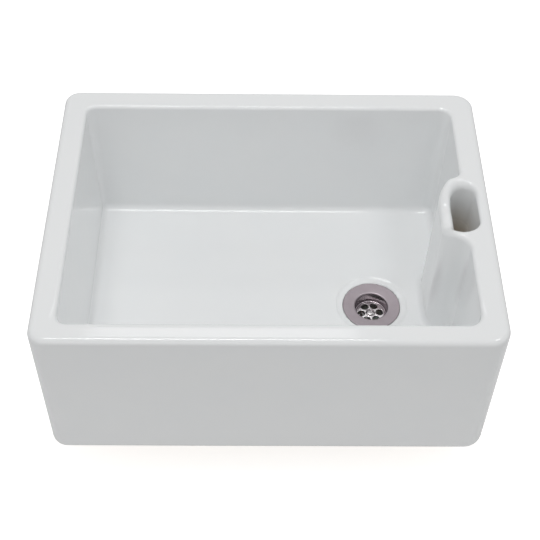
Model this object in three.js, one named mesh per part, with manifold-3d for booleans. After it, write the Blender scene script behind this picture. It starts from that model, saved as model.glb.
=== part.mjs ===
// A fireclay farmhouse sink with an apron front, a weir overflow in its right-hand wall and
// a centre-screw waste in its floor.
// Millimetres, +Z up. The origin is the middle of the sink's flat underside.
// The apron faces -Y, and the overflow stands at the +X end.

import * as THREE from 'three';
import { mergeVertices, toCreasedNormals } from 'three/addons/utils/BufferGeometryUtils.js';
import Module from 'manifold-3d';

const wasm = await Module();
wasm.setup();

// ---- Sink casting: outside ----
const SINK_WIDTH = 595;
const SINK_DEPTH = 455;
const SINK_HEIGHT = 255;
const OUTER_CORNER_RADIUS_LEFT = 21;
const OUTER_CORNER_RADIUS_RIGHT = 26;
const OUTER_RIM_RADIUS = 8;
const BASE_EDGE_RADIUS = 18;

// ---- Sink casting: bowl ----
const END_WALL = 34;
const FRONT_WALL = 32;
const BACK_WALL = 35;
const BOWL_DEPTH = 212;
const BOWL_CORNER_RADIUS_LEFT = 13;
const BOWL_CORNER_RADIUS_RIGHT = 18;
const INNER_RIM_RADIUS = 9;
const FLOOR_FILLET = 10;
const WALL_DRAFT_DEGREES = 0.8;
const FLOOR_FALL = 1.5;

// ---- Sink casting: overflow ----
const OVERFLOW_OFFSET = 2.5;
const POCKET_LENGTH = 85;
const POCKET_WIDTH = 31.5;
const POCKET_OUTER_WALL = 16.5;
const POCKET_CORNER_RADIUS = 14;
const POCKET_RIM_RADIUS = 4;
const LIP_THICKNESS = 16;
const COLUMN_END_WALL = 17;
const COLUMN_CORNER_RADIUS_FRONT = 30;
const COLUMN_CORNER_RADIUS_BACK = 38;
const COLUMN_ROOT_RADIUS = 13;
const WEIR_DROP = 20;
const WEIR_LENGTH = 87;
const WEIR_CORNER_RADIUS = 21;
const WEIR_MOUTH_DEPTH = 16;
const WEIR_MOUTH_RADIUS = 15;
const WEIR_RAMP_RADIUS = 12;
const WEIR_EDGE_RADIUS = 7;
const CHANNEL_WIDTH = 40;
const CHANNEL_HEIGHT = 14;
const CHANNEL_FLOOR = 13;

// ---- Sink casting: outlet ----
const OUTLET_FROM_END = 143;
const OUTLET_HOLE_DIAMETER = 60;
const RECESS_DIAMETER = 108;
const RECESS_SEAT_MARGIN = 2.5;
const RECESS_DEPTH = 9;
const SPOT_FACE_MARGIN = 4;
const SPOT_FACE_DEPTH = 5;

// ---- Waste: flange, grid and seals ----
const GAP = 0.3;
const FLANGE_DIAMETER = 85;
const SHEET = 1.2;
const FLANGE_DISH = 1;
const FLANGE_BEND_RADIUS = 2.5;
const CUP_DIAMETER = 48;
const CUP_DEPTH = 19.5;
const SPIGOT_LENGTH = 5;
const FLANGE_SEAL_THICKNESS = 1.5;
const FLANGE_SEAL_INSET = 1.5;
const GRID_DIAMETER = 42;
const GRID_THICKNESS = 1.2;
const GRID_DOME = 0.8;
const DIMPLE_DEPTH = 3.5;
const DIMPLE_SLOPE = 1.2;
const GRID_SEAT_WIDTH = 1.6;
const GRID_HOLE_COUNT = 6;
const GRID_HOLE_DIAMETER = 10;
const GRID_HOLE_CIRCLE = 27.5;
const GRID_TURN_DEGREES = 5;
const BODY_SEAL_THICKNESS = 3;

// ---- Waste: screw, washer and nut (M5) ----
const SCREW_DIAMETER = 5;
const SCREW_PITCH = 0.8;
const SCREW_THREAD_LENGTH = 14;
const SCREW_HEAD_DIAMETER = 8.5;
const SCREW_HEAD_HEIGHT = 2.8;
const SCREW_SLOT_WIDTH = 1.2;
const SCREW_SLOT_DEPTH = 1.6;
const WASHER_DIAMETER = 10.6;
const WASHER_THICKNESS = 1;
const NUT_ACROSS_FLATS = 8;
const NUT_HEIGHT = 8;

// ---- Waste: plastic body ----
const BODY_RIM_DIAMETER = 96;
const BODY_RIM_THICKNESS = 4;
const BODY_MOUTH_DIAMETER = 66;
const BODY_WALL = 3;
const FUNNEL_HEIGHT = 20;
const OUTLET_THREAD_DIAMETER = 47.8;
const OUTLET_THREAD_PITCH = 2.309;
const OUTLET_THREAD_LENGTH = 26;
const OUTLET_THREAD_RELIEF = 0.6;
const OUTLET_BORE = 38;
const OUTLET_LENGTH = 34;
const BOSS_DIAMETER = 15;
const BOSS_DROP = 3;
const BOSS_CLEARANCE = 3;
const BOSS_CAP = 2;
const RIB_COUNT = 3;
const RIB_THICKNESS = 2.6;
const RIB_HEIGHT = 9;

// A V thread is this deep for each millimetre of its pitch, by the metric and pipe standards.
const METRIC_THREAD_DEPTH = 0.6134;
const PIPE_THREAD_DEPTH = 0.6403;

// ---- How finely round things are cut ----
const CORNER_STEPS = 8;
const FILLET_STEPS = 5;
const LATHE_STEPS = 42;
const HOLE_STEPS = 16;
const THREAD_STEPS = 24;
const SCREW_STEPS = 12;

// ---- Places worked out from the sizes above ----
const BOWL_FLOOR = SINK_HEIGHT - BOWL_DEPTH;
const BOWL_LEFT = -SINK_WIDTH / 2 + END_WALL;
const BOWL_RIGHT = SINK_WIDTH / 2 - END_WALL;
const BOWL_FRONT = -SINK_DEPTH / 2 + FRONT_WALL;
const BOWL_BACK = SINK_DEPTH / 2 - BACK_WALL;
const BOWL_MIDDLE_Y = (BOWL_FRONT + BOWL_BACK) / 2;

const OVERFLOW_Y = BOWL_MIDDLE_Y + OVERFLOW_OFFSET;
const POCKET_RIGHT = SINK_WIDTH / 2 - POCKET_OUTER_WALL;
const POCKET_LEFT = POCKET_RIGHT - POCKET_WIDTH;
const COLUMN_NOSE = POCKET_LEFT - LIP_THICKNESS;
const COLUMN_HALF_LENGTH = POCKET_LENGTH / 2 + COLUMN_END_WALL;
const WEIR_CREST = SINK_HEIGHT - WEIR_DROP;

const OUTLET_X = SINK_WIDTH / 2 - OUTLET_FROM_END;
const OUTLET_Y = BOWL_MIDDLE_Y;
const SEAT_RADIUS = FLANGE_DIAMETER / 2 + RECESS_SEAT_MARGIN;
const RECESS_EDGE_HEIGHT = BOWL_FLOOR - FLOOR_FALL;
const RECESS_SEAT_HEIGHT = BOWL_FLOOR - RECESS_DEPTH;

const FLANGE_HEIGHT = RECESS_SEAT_HEIGHT + FLANGE_SEAL_THICKNESS + 2 * GAP + FLANGE_DISH;
const CUP_RADIUS = CUP_DIAMETER / 2;
const SPIGOT_RADIUS = GRID_DIAMETER / 2 - GRID_SEAT_WIDTH;
const SHOULDER_HEIGHT = FLANGE_HEIGHT + SHEET - CUP_DEPTH;
const SPIGOT_END = SHOULDER_HEIGHT - SHEET - SPIGOT_LENGTH;
const GRID_HEIGHT = SHOULDER_HEIGHT + GAP;
const WASHER_HEIGHT = GRID_HEIGHT + GRID_THICKNESS + GRID_DOME - DIMPLE_DEPTH + GAP;
const SCREW_SEAT_HEIGHT = WASHER_HEIGHT + WASHER_THICKNESS + GAP;

const BODY_SEAL_HEIGHT = SPOT_FACE_DEPTH - GAP - BODY_SEAL_THICKNESS;
const BODY_HEIGHT = BODY_SEAL_HEIGHT - GAP;
const BOSS_RADIUS = BOSS_DIAMETER / 2;
// The boss stands just below the body's rim, or lower where the floor is so thin that the
// flange's spigot reaches down to it.
const BOSS_TOP = Math.min(BODY_HEIGHT - BOSS_DROP, SPIGOT_END - BOSS_CLEARANCE);
const NUT_TOP = BOSS_TOP - BOSS_CAP - GAP;
const NUT_BOTTOM = NUT_TOP - NUT_HEIGHT;
const SCREW_LENGTH = SCREW_SEAT_HEIGHT - NUT_BOTTOM;
const SCREW_HOLE_RADIUS = SCREW_DIAMETER / 2 + GAP;

// A cutter starts or ends this far outside what it cuts.
const OVERCUT = 5;
// An arc that shrinks with its outline keeps at least this radius.
const LEAST_ARC = 0.4;

// ---------------------------------------------------------------- solids and meshes

function signedVolume(position, index) {
  const a = new THREE.Vector3();
  const b = new THREE.Vector3();
  const c = new THREE.Vector3();
  let volume = 0;
  for (let i = 0; i < index.length; i += 3) {
    a.fromBufferAttribute(position, index[i]);
    b.fromBufferAttribute(position, index[i + 1]);
    c.fromBufferAttribute(position, index[i + 2]);
    volume += a.dot(b.cross(c)) / 6;
  }
  return volume;
}

// Turns a closed geometry into a solid, with its shared corners merged and its faces out.
function solid(geometry) {
  const bare = geometry.clone();
  bare.deleteAttribute('normal');
  bare.deleteAttribute('uv');
  const merged = mergeVertices(bare, 1e-4);
  const position = merged.getAttribute('position');
  const found = merged.getIndex().array;
  const inward = signedVolume(position, found) < 0;
  const triangles = [];
  for (let i = 0; i < found.length; i += 3) {
    const [a, b, c] = [found[i], found[i + 1], found[i + 2]];
    if (a !== b && b !== c && c !== a) {
      triangles.push(...(inward ? [a, c, b] : [a, b, c]));
    }
  }
  return new wasm.Manifold(new wasm.Mesh({
    numProp: 3,
    vertProperties: new Float32Array(position.array),
    triVerts: new Uint32Array(triangles),
  }));
}

function meshOf(name, body, material) {
  const cut = body.getMesh();
  const geometry = new THREE.BufferGeometry();
  geometry.setAttribute('position', new THREE.BufferAttribute(cut.vertProperties, 3));
  geometry.setIndex(new THREE.BufferAttribute(cut.triVerts, 1));
  const mesh = new THREE.Mesh(toCreasedNormals(geometry, THREE.MathUtils.degToRad(35)), material);
  mesh.name = name;
  return mesh;
}

// A solid of revolution about +Z. Each point of the profile is [radius, height].
function turned(profile, steps = LATHE_STEPS) {
  const points = profile.map(([radius, height]) => new THREE.Vector2(radius, height));
  return solid(new THREE.LatheGeometry(points, steps).rotateX(Math.PI / 2));
}

// A ring of revolution: its profile closes on itself.
function turnedRing(profile, steps = LATHE_STEPS) {
  return turned([...profile, profile[0]], steps);
}

function roundBar(radius, bottom, top, steps = LATHE_STEPS) {
  return turned([[0, bottom], [radius, bottom], [radius, top], [0, top]], steps);
}

function box(left, right, front, back, bottom, top) {
  const geometry = new THREE.BoxGeometry(right - left, back - front, top - bottom);
  geometry.translate((left + right) / 2, (front + back) / 2, (bottom + top) / 2);
  return solid(geometry);
}

// ---------------------------------------------------------------- outlines and lofts

// The corners of a box outline, anticlockwise, each with the radius of its arc. The arcs at
// the left may have a radius of their own.
function boxCorners(left, right, front, back, radius, leftRadius = radius) {
  return [
    { x: left, y: front, radius: leftRadius },
    { x: right, y: front, radius },
    { x: right, y: back, radius },
    { x: left, y: back, radius: leftRadius },
  ];
}

// The points of an outline grown by a distance, with arcs at its corners. The arcs grow by
// the same distance unless another is given.
function outlinePoints(corners, grow, arcGrow = grow) {
  const points = [];
  corners.forEach((corner, i) => {
    const before = corners[(i + corners.length - 1) % corners.length];
    const after = corners[(i + 1) % corners.length];
    const into = new THREE.Vector2(corner.x - before.x, corner.y - before.y).normalize();
    const out = new THREE.Vector2(after.x - corner.x, after.y - corner.y).normalize();
    const bend = Math.acos(into.dot(out));
    const turn = Math.sign(into.cross(out));
    const radius = Math.max(corner.radius + turn * arcGrow, LEAST_ARC);
    const reach = radius * Math.tan(bend / 2);
    const spread = grow / (1 + into.dot(out));
    const startX = corner.x + spread * (into.y + out.y) - reach * into.x;
    const startY = corner.y - spread * (into.x + out.x) - reach * into.y;
    const centre = [startX - turn * radius * into.y, startY + turn * radius * into.x];
    const start = Math.atan2(-turn * into.x, turn * into.y);
    for (let k = 0; k <= CORNER_STEPS; k++) {
      const angle = start + (turn * k * bend) / CORNER_STEPS;
      points.push([centre[0] + radius * Math.cos(angle), centre[1] + radius * Math.sin(angle)]);
    }
  });
  return points;
}

// A closed solid through rings of [x, y] points at rising heights, all with as many points.
function loft(rings) {
  const count = rings[0].points.length;
  const corners = [];
  rings.forEach(({ points, height }) => points.forEach(([x, y]) => corners.push(x, y, height)));
  const index = [];
  for (let r = 0; r + 1 < rings.length; r++) {
    for (let k = 0; k < count; k++) {
      const a = r * count + k;
      const b = r * count + ((k + 1) % count);
      index.push(a, b, b + count, a, b + count, a + count);
    }
  }
  const flat = (points) => points.map(([x, y]) => new THREE.Vector2(x, y));
  THREE.ShapeUtils.triangulateShape(flat(rings[0].points), []).forEach(([a, b, c]) => {
    index.push(a, c, b);
  });
  const top = (rings.length - 1) * count;
  THREE.ShapeUtils.triangulateShape(flat(rings.at(-1).points), []).forEach(([a, b, c]) => {
    index.push(top + a, top + b, top + c);
  });
  const geometry = new THREE.BufferGeometry();
  geometry.setAttribute('position', new THREE.Float32BufferAttribute(corners, 3));
  geometry.setIndex(index);
  return solid(geometry);
}

// The angles of a quarter turn, from 0 to a right angle.
function quarterTurn(steps = FILLET_STEPS) {
  return Array.from({ length: steps + 1 }, (_, k) => (k * Math.PI) / 2 / steps);
}

// Rings that flare outwards up to a level, as the rounded edge of a hole does, and then rise
// straight past it.
function flaredRings(corners, level, radius) {
  const rings = quarterTurn().map((angle) => ({
    points: outlinePoints(corners, radius * (1 - Math.cos(angle))),
    height: level - radius + radius * Math.sin(angle),
  }));
  rings.push({ points: outlinePoints(corners, radius), height: level + OVERCUT });
  return rings;
}

// ---------------------------------------------------------------- sink casting

// One flank of the overflow column, at its front (-1) or its back (1): the corner of the
// nose and the root in the end wall, whose arcs run straight into each other.
function columnFlank(side, radius) {
  const depth = BOWL_RIGHT - COLUMN_NOSE;
  const bend = Math.acos(1 - depth / (radius + COLUMN_ROOT_RADIUS));
  const corner = COLUMN_HALF_LENGTH - radius + radius * Math.tan(bend / 2);
  const root = corner + depth / Math.tan(bend);
  return {
    corner: { x: COLUMN_NOSE, y: OVERFLOW_Y + side * corner, radius },
    root: { x: BOWL_RIGHT, y: OVERFLOW_Y + side * root, radius: COLUMN_ROOT_RADIUS },
  };
}

const frontFlank = columnFlank(-1, COLUMN_CORNER_RADIUS_FRONT);
const backFlank = columnFlank(1, COLUMN_CORNER_RADIUS_BACK);

const bowlCorners = [
  { x: BOWL_LEFT, y: BOWL_FRONT, radius: BOWL_CORNER_RADIUS_LEFT },
  { x: BOWL_RIGHT, y: BOWL_FRONT, radius: BOWL_CORNER_RADIUS_RIGHT },
  frontFlank.root,
  frontFlank.corner,
  backFlank.corner,
  backFlank.root,
  { x: BOWL_RIGHT, y: BOWL_BACK, radius: BOWL_CORNER_RADIUS_RIGHT },
  { x: BOWL_LEFT, y: BOWL_BACK, radius: BOWL_CORNER_RADIUS_LEFT },
];

const pocketCorners = boxCorners(
  POCKET_LEFT,
  POCKET_RIGHT,
  OVERFLOW_Y - POCKET_LENGTH / 2,
  OVERFLOW_Y + POCKET_LENGTH / 2,
  POCKET_CORNER_RADIUS,
);

// The block of clay before the bowl is sunk into it, with all its outer edges rounded.
function castingBlock() {
  const corners = boxCorners(
    -SINK_WIDTH / 2, SINK_WIDTH / 2, -SINK_DEPTH / 2, SINK_DEPTH / 2,
    OUTER_CORNER_RADIUS_RIGHT, OUTER_CORNER_RADIUS_LEFT,
  );
  const base = quarterTurn().map((angle) => ({
    points: outlinePoints(corners, -BASE_EDGE_RADIUS * (1 - Math.sin(angle))),
    height: BASE_EDGE_RADIUS * (1 - Math.cos(angle)),
  }));
  const rim = quarterTurn().map((angle) => ({
    points: outlinePoints(corners, -OUTER_RIM_RADIUS * (1 - Math.cos(angle))),
    height: SINK_HEIGHT - OUTER_RIM_RADIUS + OUTER_RIM_RADIUS * Math.sin(angle),
  }));
  return loft([...base, ...rim]);
}

// How far the walls lean in between the rim and the foot.
function wallLean() {
  const height = BOWL_DEPTH - INNER_RIM_RADIUS - FLOOR_FILLET;
  return height * Math.tan(THREE.MathUtils.degToRad(WALL_DRAFT_DEGREES));
}

// The bowl: a flat floor, a rounded foot to each wall, and walls that lean out a little on
// their way up to the rounded rim.
function bowlCutter() {
  const foot = quarterTurn().map((angle) => {
    const inset = FLOOR_FILLET * (1 - Math.sin(angle));
    return {
      points: outlinePoints(bowlCorners, -wallLean() - inset, -inset),
      height: BOWL_FLOOR + FLOOR_FILLET * (1 - Math.cos(angle)),
    };
  });
  return loft([...foot, ...flaredRings(bowlCorners, SINK_HEIGHT, INNER_RIM_RADIUS)]);
}

// The fall of the floor: a very shallow hopper from the foot of the walls to the outlet.
function floorFallCutter() {
  const inset = wallLean() + FLOOR_FILLET;
  const edge = outlinePoints(boxCorners(
    BOWL_LEFT + inset, COLUMN_NOSE - inset, BOWL_FRONT + inset, BOWL_BACK - inset,
    BOWL_CORNER_RADIUS_RIGHT, BOWL_CORNER_RADIUS_LEFT,
  ), 0);
  const outlet = edge.map(([x, y]) => {
    const angle = Math.atan2(y - OUTLET_Y, x - OUTLET_X);
    return [OUTLET_X + SEAT_RADIUS * Math.cos(angle), OUTLET_Y + SEAT_RADIUS * Math.sin(angle)];
  });
  return loft([
    { points: outlet, height: RECESS_EDGE_HEIGHT },
    { points: edge, height: BOWL_FLOOR },
    { points: edge, height: BOWL_FLOOR + FLOOR_FALL },
  ]);
}

// The upright shaft behind the weir, open at the rim and closed at the channel's floor.
function pocketCutter() {
  const rings = [{ points: outlinePoints(pocketCorners, 0), height: CHANNEL_FLOOR }];
  return loft([...rings, ...flaredRings(pocketCorners, SINK_HEIGHT, POCKET_RIM_RADIUS)]);
}

// The dip in the rim that makes the weir, with soft ramps. It spans the shaft as far as the
// shaft's outer wall, and at the lip it opens out past both flanks of the column, as a mouth.
function weirCutter() {
  const outside = COLUMN_NOSE - WEIR_CORNER_RADIUS - OVERCUT;
  const mouth = COLUMN_NOSE + WEIR_MOUTH_DEPTH;
  const inner = POCKET_RIGHT + POCKET_RIM_RADIUS - WEIR_EDGE_RADIUS;
  const reach = COLUMN_HALF_LENGTH + WEIR_CORNER_RADIUS;
  const front = OVERFLOW_Y - WEIR_LENGTH / 2;
  const back = OVERFLOW_Y + WEIR_LENGTH / 2;
  const corners = [
    { x: outside, y: OVERFLOW_Y - reach, radius: WEIR_MOUTH_RADIUS },
    { x: mouth, y: OVERFLOW_Y - reach, radius: WEIR_MOUTH_RADIUS },
    { x: mouth, y: front, radius: WEIR_MOUTH_RADIUS },
    { x: inner, y: front, radius: WEIR_CORNER_RADIUS },
    { x: inner, y: back, radius: WEIR_CORNER_RADIUS },
    { x: mouth, y: back, radius: WEIR_MOUTH_RADIUS },
    { x: mouth, y: OVERFLOW_Y + reach, radius: WEIR_MOUTH_RADIUS },
    { x: outside, y: OVERFLOW_Y + reach, radius: WEIR_MOUTH_RADIUS },
  ];
  const ramp = quarterTurn().map((angle) => ({
    points: outlinePoints(corners, -WEIR_RAMP_RADIUS * (1 - Math.sin(angle))),
    height: WEIR_CREST + WEIR_RAMP_RADIUS * (1 - Math.cos(angle)),
  }));
  ramp.pop();
  return loft([...ramp, ...flaredRings(corners, SINK_HEIGHT, WEIR_EDGE_RADIUS)]);
}

// What rounds the two long edges of the weir's lip: the bowl and the shaft, each flared at
// the crest, and kept to the flat stretch of the weir.
function lipRounding() {
  const radius = LIP_THICKNESS / 2 - GAP;
  const reach = WEIR_LENGTH / 2 - WEIR_RAMP_RADIUS;
  const bottom = WEIR_CREST - LIP_THICKNESS;
  const zone = box(
    COLUMN_NOSE - OVERCUT, POCKET_RIGHT, OVERFLOW_Y - reach, OVERFLOW_Y + reach,
    bottom, WEIR_CREST + OVERCUT / 2,
  );
  const bowlSide = loft([
    { points: outlinePoints(bowlCorners, 0), height: bottom - OVERCUT },
    ...flaredRings(bowlCorners, WEIR_CREST, radius),
  ]);
  const shaftSide = loft([
    { points: outlinePoints(pocketCorners, 0), height: bottom - OVERCUT },
    ...flaredRings(pocketCorners, WEIR_CREST, radius),
  ]);
  return bowlSide.add(shaftSide).intersect(zone);
}

// The channel in the base that leads from the shaft to the side of the outlet hole.
function channelCutter() {
  return box(
    OUTLET_X,
    POCKET_RIGHT - POCKET_CORNER_RADIUS,
    OUTLET_Y - CHANNEL_WIDTH / 2,
    OUTLET_Y + CHANNEL_WIDTH / 2,
    CHANNEL_FLOOR,
    CHANNEL_FLOOR + CHANNEL_HEIGHT,
  );
}

// The recess for the flange, with soft sides, the outlet hole, and the spot face below it.
function outletCutter() {
  const steps = 6;
  const sides = Array.from({ length: steps + 1 }, (_, k) => {
    const share = k / steps;
    const rise = share * share * (3 - 2 * share);
    const radius = SEAT_RADIUS + (RECESS_DIAMETER / 2 - SEAT_RADIUS) * share;
    return [radius, RECESS_SEAT_HEIGHT + (RECESS_EDGE_HEIGHT - RECESS_SEAT_HEIGHT) * rise];
  });
  const spotRadius = BODY_RIM_DIAMETER / 2 + SPOT_FACE_MARGIN;
  const holeRadius = OUTLET_HOLE_DIAMETER / 2;
  return turned([
    [0, -OVERCUT],
    [spotRadius, -OVERCUT],
    [spotRadius, SPOT_FACE_DEPTH],
    [holeRadius, SPOT_FACE_DEPTH],
    [holeRadius, RECESS_SEAT_HEIGHT],
    ...sides,
    [RECESS_DIAMETER / 2, BOWL_FLOOR],
    [0, BOWL_FLOOR],
  ]).translate([OUTLET_X, OUTLET_Y, 0]);
}

function sinkBowl() {
  return castingBlock()
    .subtract(bowlCutter())
    .subtract(floorFallCutter())
    .subtract(pocketCutter())
    .subtract(weirCutter())
    .subtract(lipRounding())
    .subtract(channelCutter())
    .subtract(outletCutter());
}

// ---------------------------------------------------------------- waste pieces
// Each is made on its own axis, with its height measured from its own lowest seat.

// The height of the flange's underside at a radius, above the flange's own zero.
function dishHeight(radius) {
  const inner = CUP_RADIUS + FLANGE_BEND_RADIUS;
  const share = (radius - inner) / (FLANGE_DIAMETER / 2 - inner);
  return -FLANGE_DISH * (1 - share);
}

// Pressed sheet: a dished rim, a rounded bend, the cup, the shoulder for the grid, a spigot.
function wasteFlange() {
  const rim = FLANGE_DIAMETER / 2;
  const bendCentre = CUP_RADIUS + FLANGE_BEND_RADIUS;
  const shoulder = SHOULDER_HEIGHT - FLANGE_HEIGHT;
  const tail = SPIGOT_END - FLANGE_HEIGHT;
  const bend = (radius, top) => quarterTurn().map((angle) => [
    bendCentre - radius * Math.sin(angle),
    top - FLANGE_BEND_RADIUS + radius * Math.cos(angle),
  ]);
  const topOfBend = SHEET - FLANGE_DISH;
  const upper = bend(FLANGE_BEND_RADIUS, topOfBend);
  const lower = bend(FLANGE_BEND_RADIUS - SHEET, topOfBend).reverse();
  return turnedRing([
    [rim - SHEET / 2, 0],
    [rim, SHEET / 2],
    [rim - SHEET / 2, SHEET],
    ...upper,
    [CUP_RADIUS, shoulder],
    [SPIGOT_RADIUS, shoulder],
    [SPIGOT_RADIUS, tail],
    [SPIGOT_RADIUS + SHEET, tail],
    [SPIGOT_RADIUS + SHEET, shoulder - SHEET],
    [CUP_RADIUS + SHEET, shoulder - SHEET],
    ...lower,
  ]);
}

// A flat ring whose top follows the flange's dish.
function flangeSeal() {
  const outer = FLANGE_DIAMETER / 2 - FLANGE_SEAL_INSET;
  const inner = OUTLET_HOLE_DIAMETER / 2 + GAP;
  const seat = FLANGE_HEIGHT - RECESS_SEAT_HEIGHT - 2 * GAP;
  return turnedRing([
    [inner, 0],
    [outer, 0],
    [outer, seat + dishHeight(outer)],
    [inner, seat + dishHeight(inner)],
  ]);
}

// A domed plate with a rolled edge, a pressed dimple for the screw's head, and six holes.
function strainerGrid() {
  const edge = GRID_DIAMETER / 2;
  const seat = WASHER_DIAMETER / 2 + 2 * GAP;
  const flat = seat + DIMPLE_SLOPE;
  const roll = GRID_THICKNESS / 2;
  const top = [];
  for (let k = 0; k <= FILLET_STEPS; k++) {
    const share = k / FILLET_STEPS;
    const radius = edge - roll + (flat - edge + roll) * share;
    top.push([radius, GRID_THICKNESS + GRID_DOME * Math.sin((share * Math.PI) / 2)]);
  }
  const under = top.map(([radius, height]) => [radius, height - GRID_THICKNESS]).reverse();
  under[0] = [flat + roll, GRID_DOME];
  const centre = SCREW_HOLE_RADIUS;
  const bottom = GRID_DOME - DIMPLE_DEPTH;
  let plate = turnedRing([
    [centre, bottom],
    [seat + roll, bottom],
    ...under,
    [edge, roll],
    ...top,
    [seat, bottom + GRID_THICKNESS],
    [centre, bottom + GRID_THICKNESS],
  ]);
  const hole = roundBar(GRID_HOLE_DIAMETER / 2, -OVERCUT, OVERCUT + GRID_DOME, HOLE_STEPS);
  for (let k = 0; k < GRID_HOLE_COUNT; k++) {
    const angle = THREE.MathUtils.degToRad(GRID_TURN_DEGREES) + (k * 2 * Math.PI) / GRID_HOLE_COUNT;
    const away = GRID_HOLE_CIRCLE / 2;
    plate = plate.subtract(hole.translate([away * Math.cos(angle), away * Math.sin(angle), 0]));
  }
  return plate;
}

function screwWasher() {
  const edge = WASHER_DIAMETER / 2;
  const chamfer = WASHER_THICKNESS / 3;
  return turnedRing([
    [SCREW_HOLE_RADIUS, 0],
    [edge, 0],
    [edge, WASHER_THICKNESS - chamfer],
    [edge - chamfer, WASHER_THICKNESS],
    [SCREW_HOLE_RADIUS, WASHER_THICKNESS],
  ]);
}

// A solid bar with a V thread, from one height to another: two rows of corners to each turn,
// one on the crest and one in the root, which climb by the pitch as they go round.
function threadedBar(diameter, pitch, depthShare, bottom, top, steps) {
  const crest = diameter / 2;
  const root = crest - depthShare * pitch;
  const rows = 2 * Math.ceil((top - bottom) / pitch + 2);
  const start = bottom - pitch;
  const corners = [];
  for (let row = 0; row < rows; row++) {
    for (let k = 0; k < steps; k++) {
      const angle = (k * 2 * Math.PI) / steps;
      const radius = row % 2 ? crest : root;
      const height = start + pitch * (row / 2 + k / steps);
      corners.push(radius * Math.cos(angle), radius * Math.sin(angle), height);
    }
  }
  const low = corners.length / 3;
  const high = low + 1;
  corners.push(0, 0, start - pitch, 0, 0, start + (rows / 2 + 1) * pitch);
  // Past a full turn a row goes on as the row two above it.
  const at = (row, k) => (k < steps ? row * steps + k : (row + 2) * steps);
  const index = [];
  for (let row = 0; row + 3 < rows; row++) {
    for (let k = 0; k < steps; k++) {
      index.push(at(row, k), at(row, k + 1), at(row + 1, k + 1));
      index.push(at(row, k), at(row + 1, k + 1), at(row + 1, k));
    }
  }
  const last = rows - 3;
  for (let k = 0; k < steps; k++) {
    index.push(low, at(0, k + 1), at(0, k));
    index.push(high, at(last, k), at(last, k + 1));
  }
  for (let row = 0; row < 2; row++) {
    index.push(low, at(row, 0), at(row + 1, 0));
    index.push(high, at(last + row + 1, 0), at(last + row, 0));
  }
  const geometry = new THREE.BufferGeometry();
  geometry.setAttribute('position', new THREE.Float32BufferAttribute(corners, 3));
  geometry.setIndex(index);
  const trim = box(-diameter, diameter, -diameter, diameter, bottom, top);
  return solid(geometry).intersect(trim);
}

// A cheese-head screw, threaded near its tip. Its zero is the underside of the head.
function centreScrew() {
  const head = SCREW_HEAD_DIAMETER / 2;
  const crown = SCREW_HEAD_HEIGHT / 5;
  const radius = SCREW_DIAMETER / 2;
  const threadTop = SCREW_THREAD_LENGTH - SCREW_LENGTH;
  const blank = turned([
    [0, threadTop - GAP],
    [radius, threadTop - GAP],
    [radius, 0],
    [head, 0],
    [head, SCREW_HEAD_HEIGHT - crown],
    [head - crown, SCREW_HEAD_HEIGHT - crown / 3],
    [0, SCREW_HEAD_HEIGHT],
  ], 32);
  const thread = threadedBar(
    SCREW_DIAMETER, SCREW_PITCH, METRIC_THREAD_DEPTH, -SCREW_LENGTH, threadTop, SCREW_STEPS,
  );
  const slotBottom = SCREW_HEAD_HEIGHT - SCREW_SLOT_DEPTH;
  const slot = box(
    -head - OVERCUT, head + OVERCUT, -SCREW_SLOT_WIDTH / 2, SCREW_SLOT_WIDTH / 2,
    slotBottom, SCREW_HEAD_HEIGHT + OVERCUT,
  );
  return blank.add(thread).subtract(slot);
}

// A hexagonal prism of a given width across its flats.
function hexBar(acrossFlats, bottom, top) {
  return roundBar(acrossFlats / Math.sqrt(3), bottom, top, 6);
}

function insertNut() {
  return hexBar(NUT_ACROSS_FLATS, 0, NUT_HEIGHT)
    .subtract(roundBar(SCREW_HOLE_RADIUS, -OVERCUT, NUT_HEIGHT + OVERCUT, HOLE_STEPS));
}

function bodySeal() {
  const inner = BODY_MOUTH_DIAMETER / 2;
  const outer = BODY_RIM_DIAMETER / 2 - GAP;
  return turnedRing([
    [inner, 0],
    [outer, 0],
    [outer, BODY_SEAL_THICKNESS],
    [inner, BODY_SEAL_THICKNESS],
  ]);
}

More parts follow.
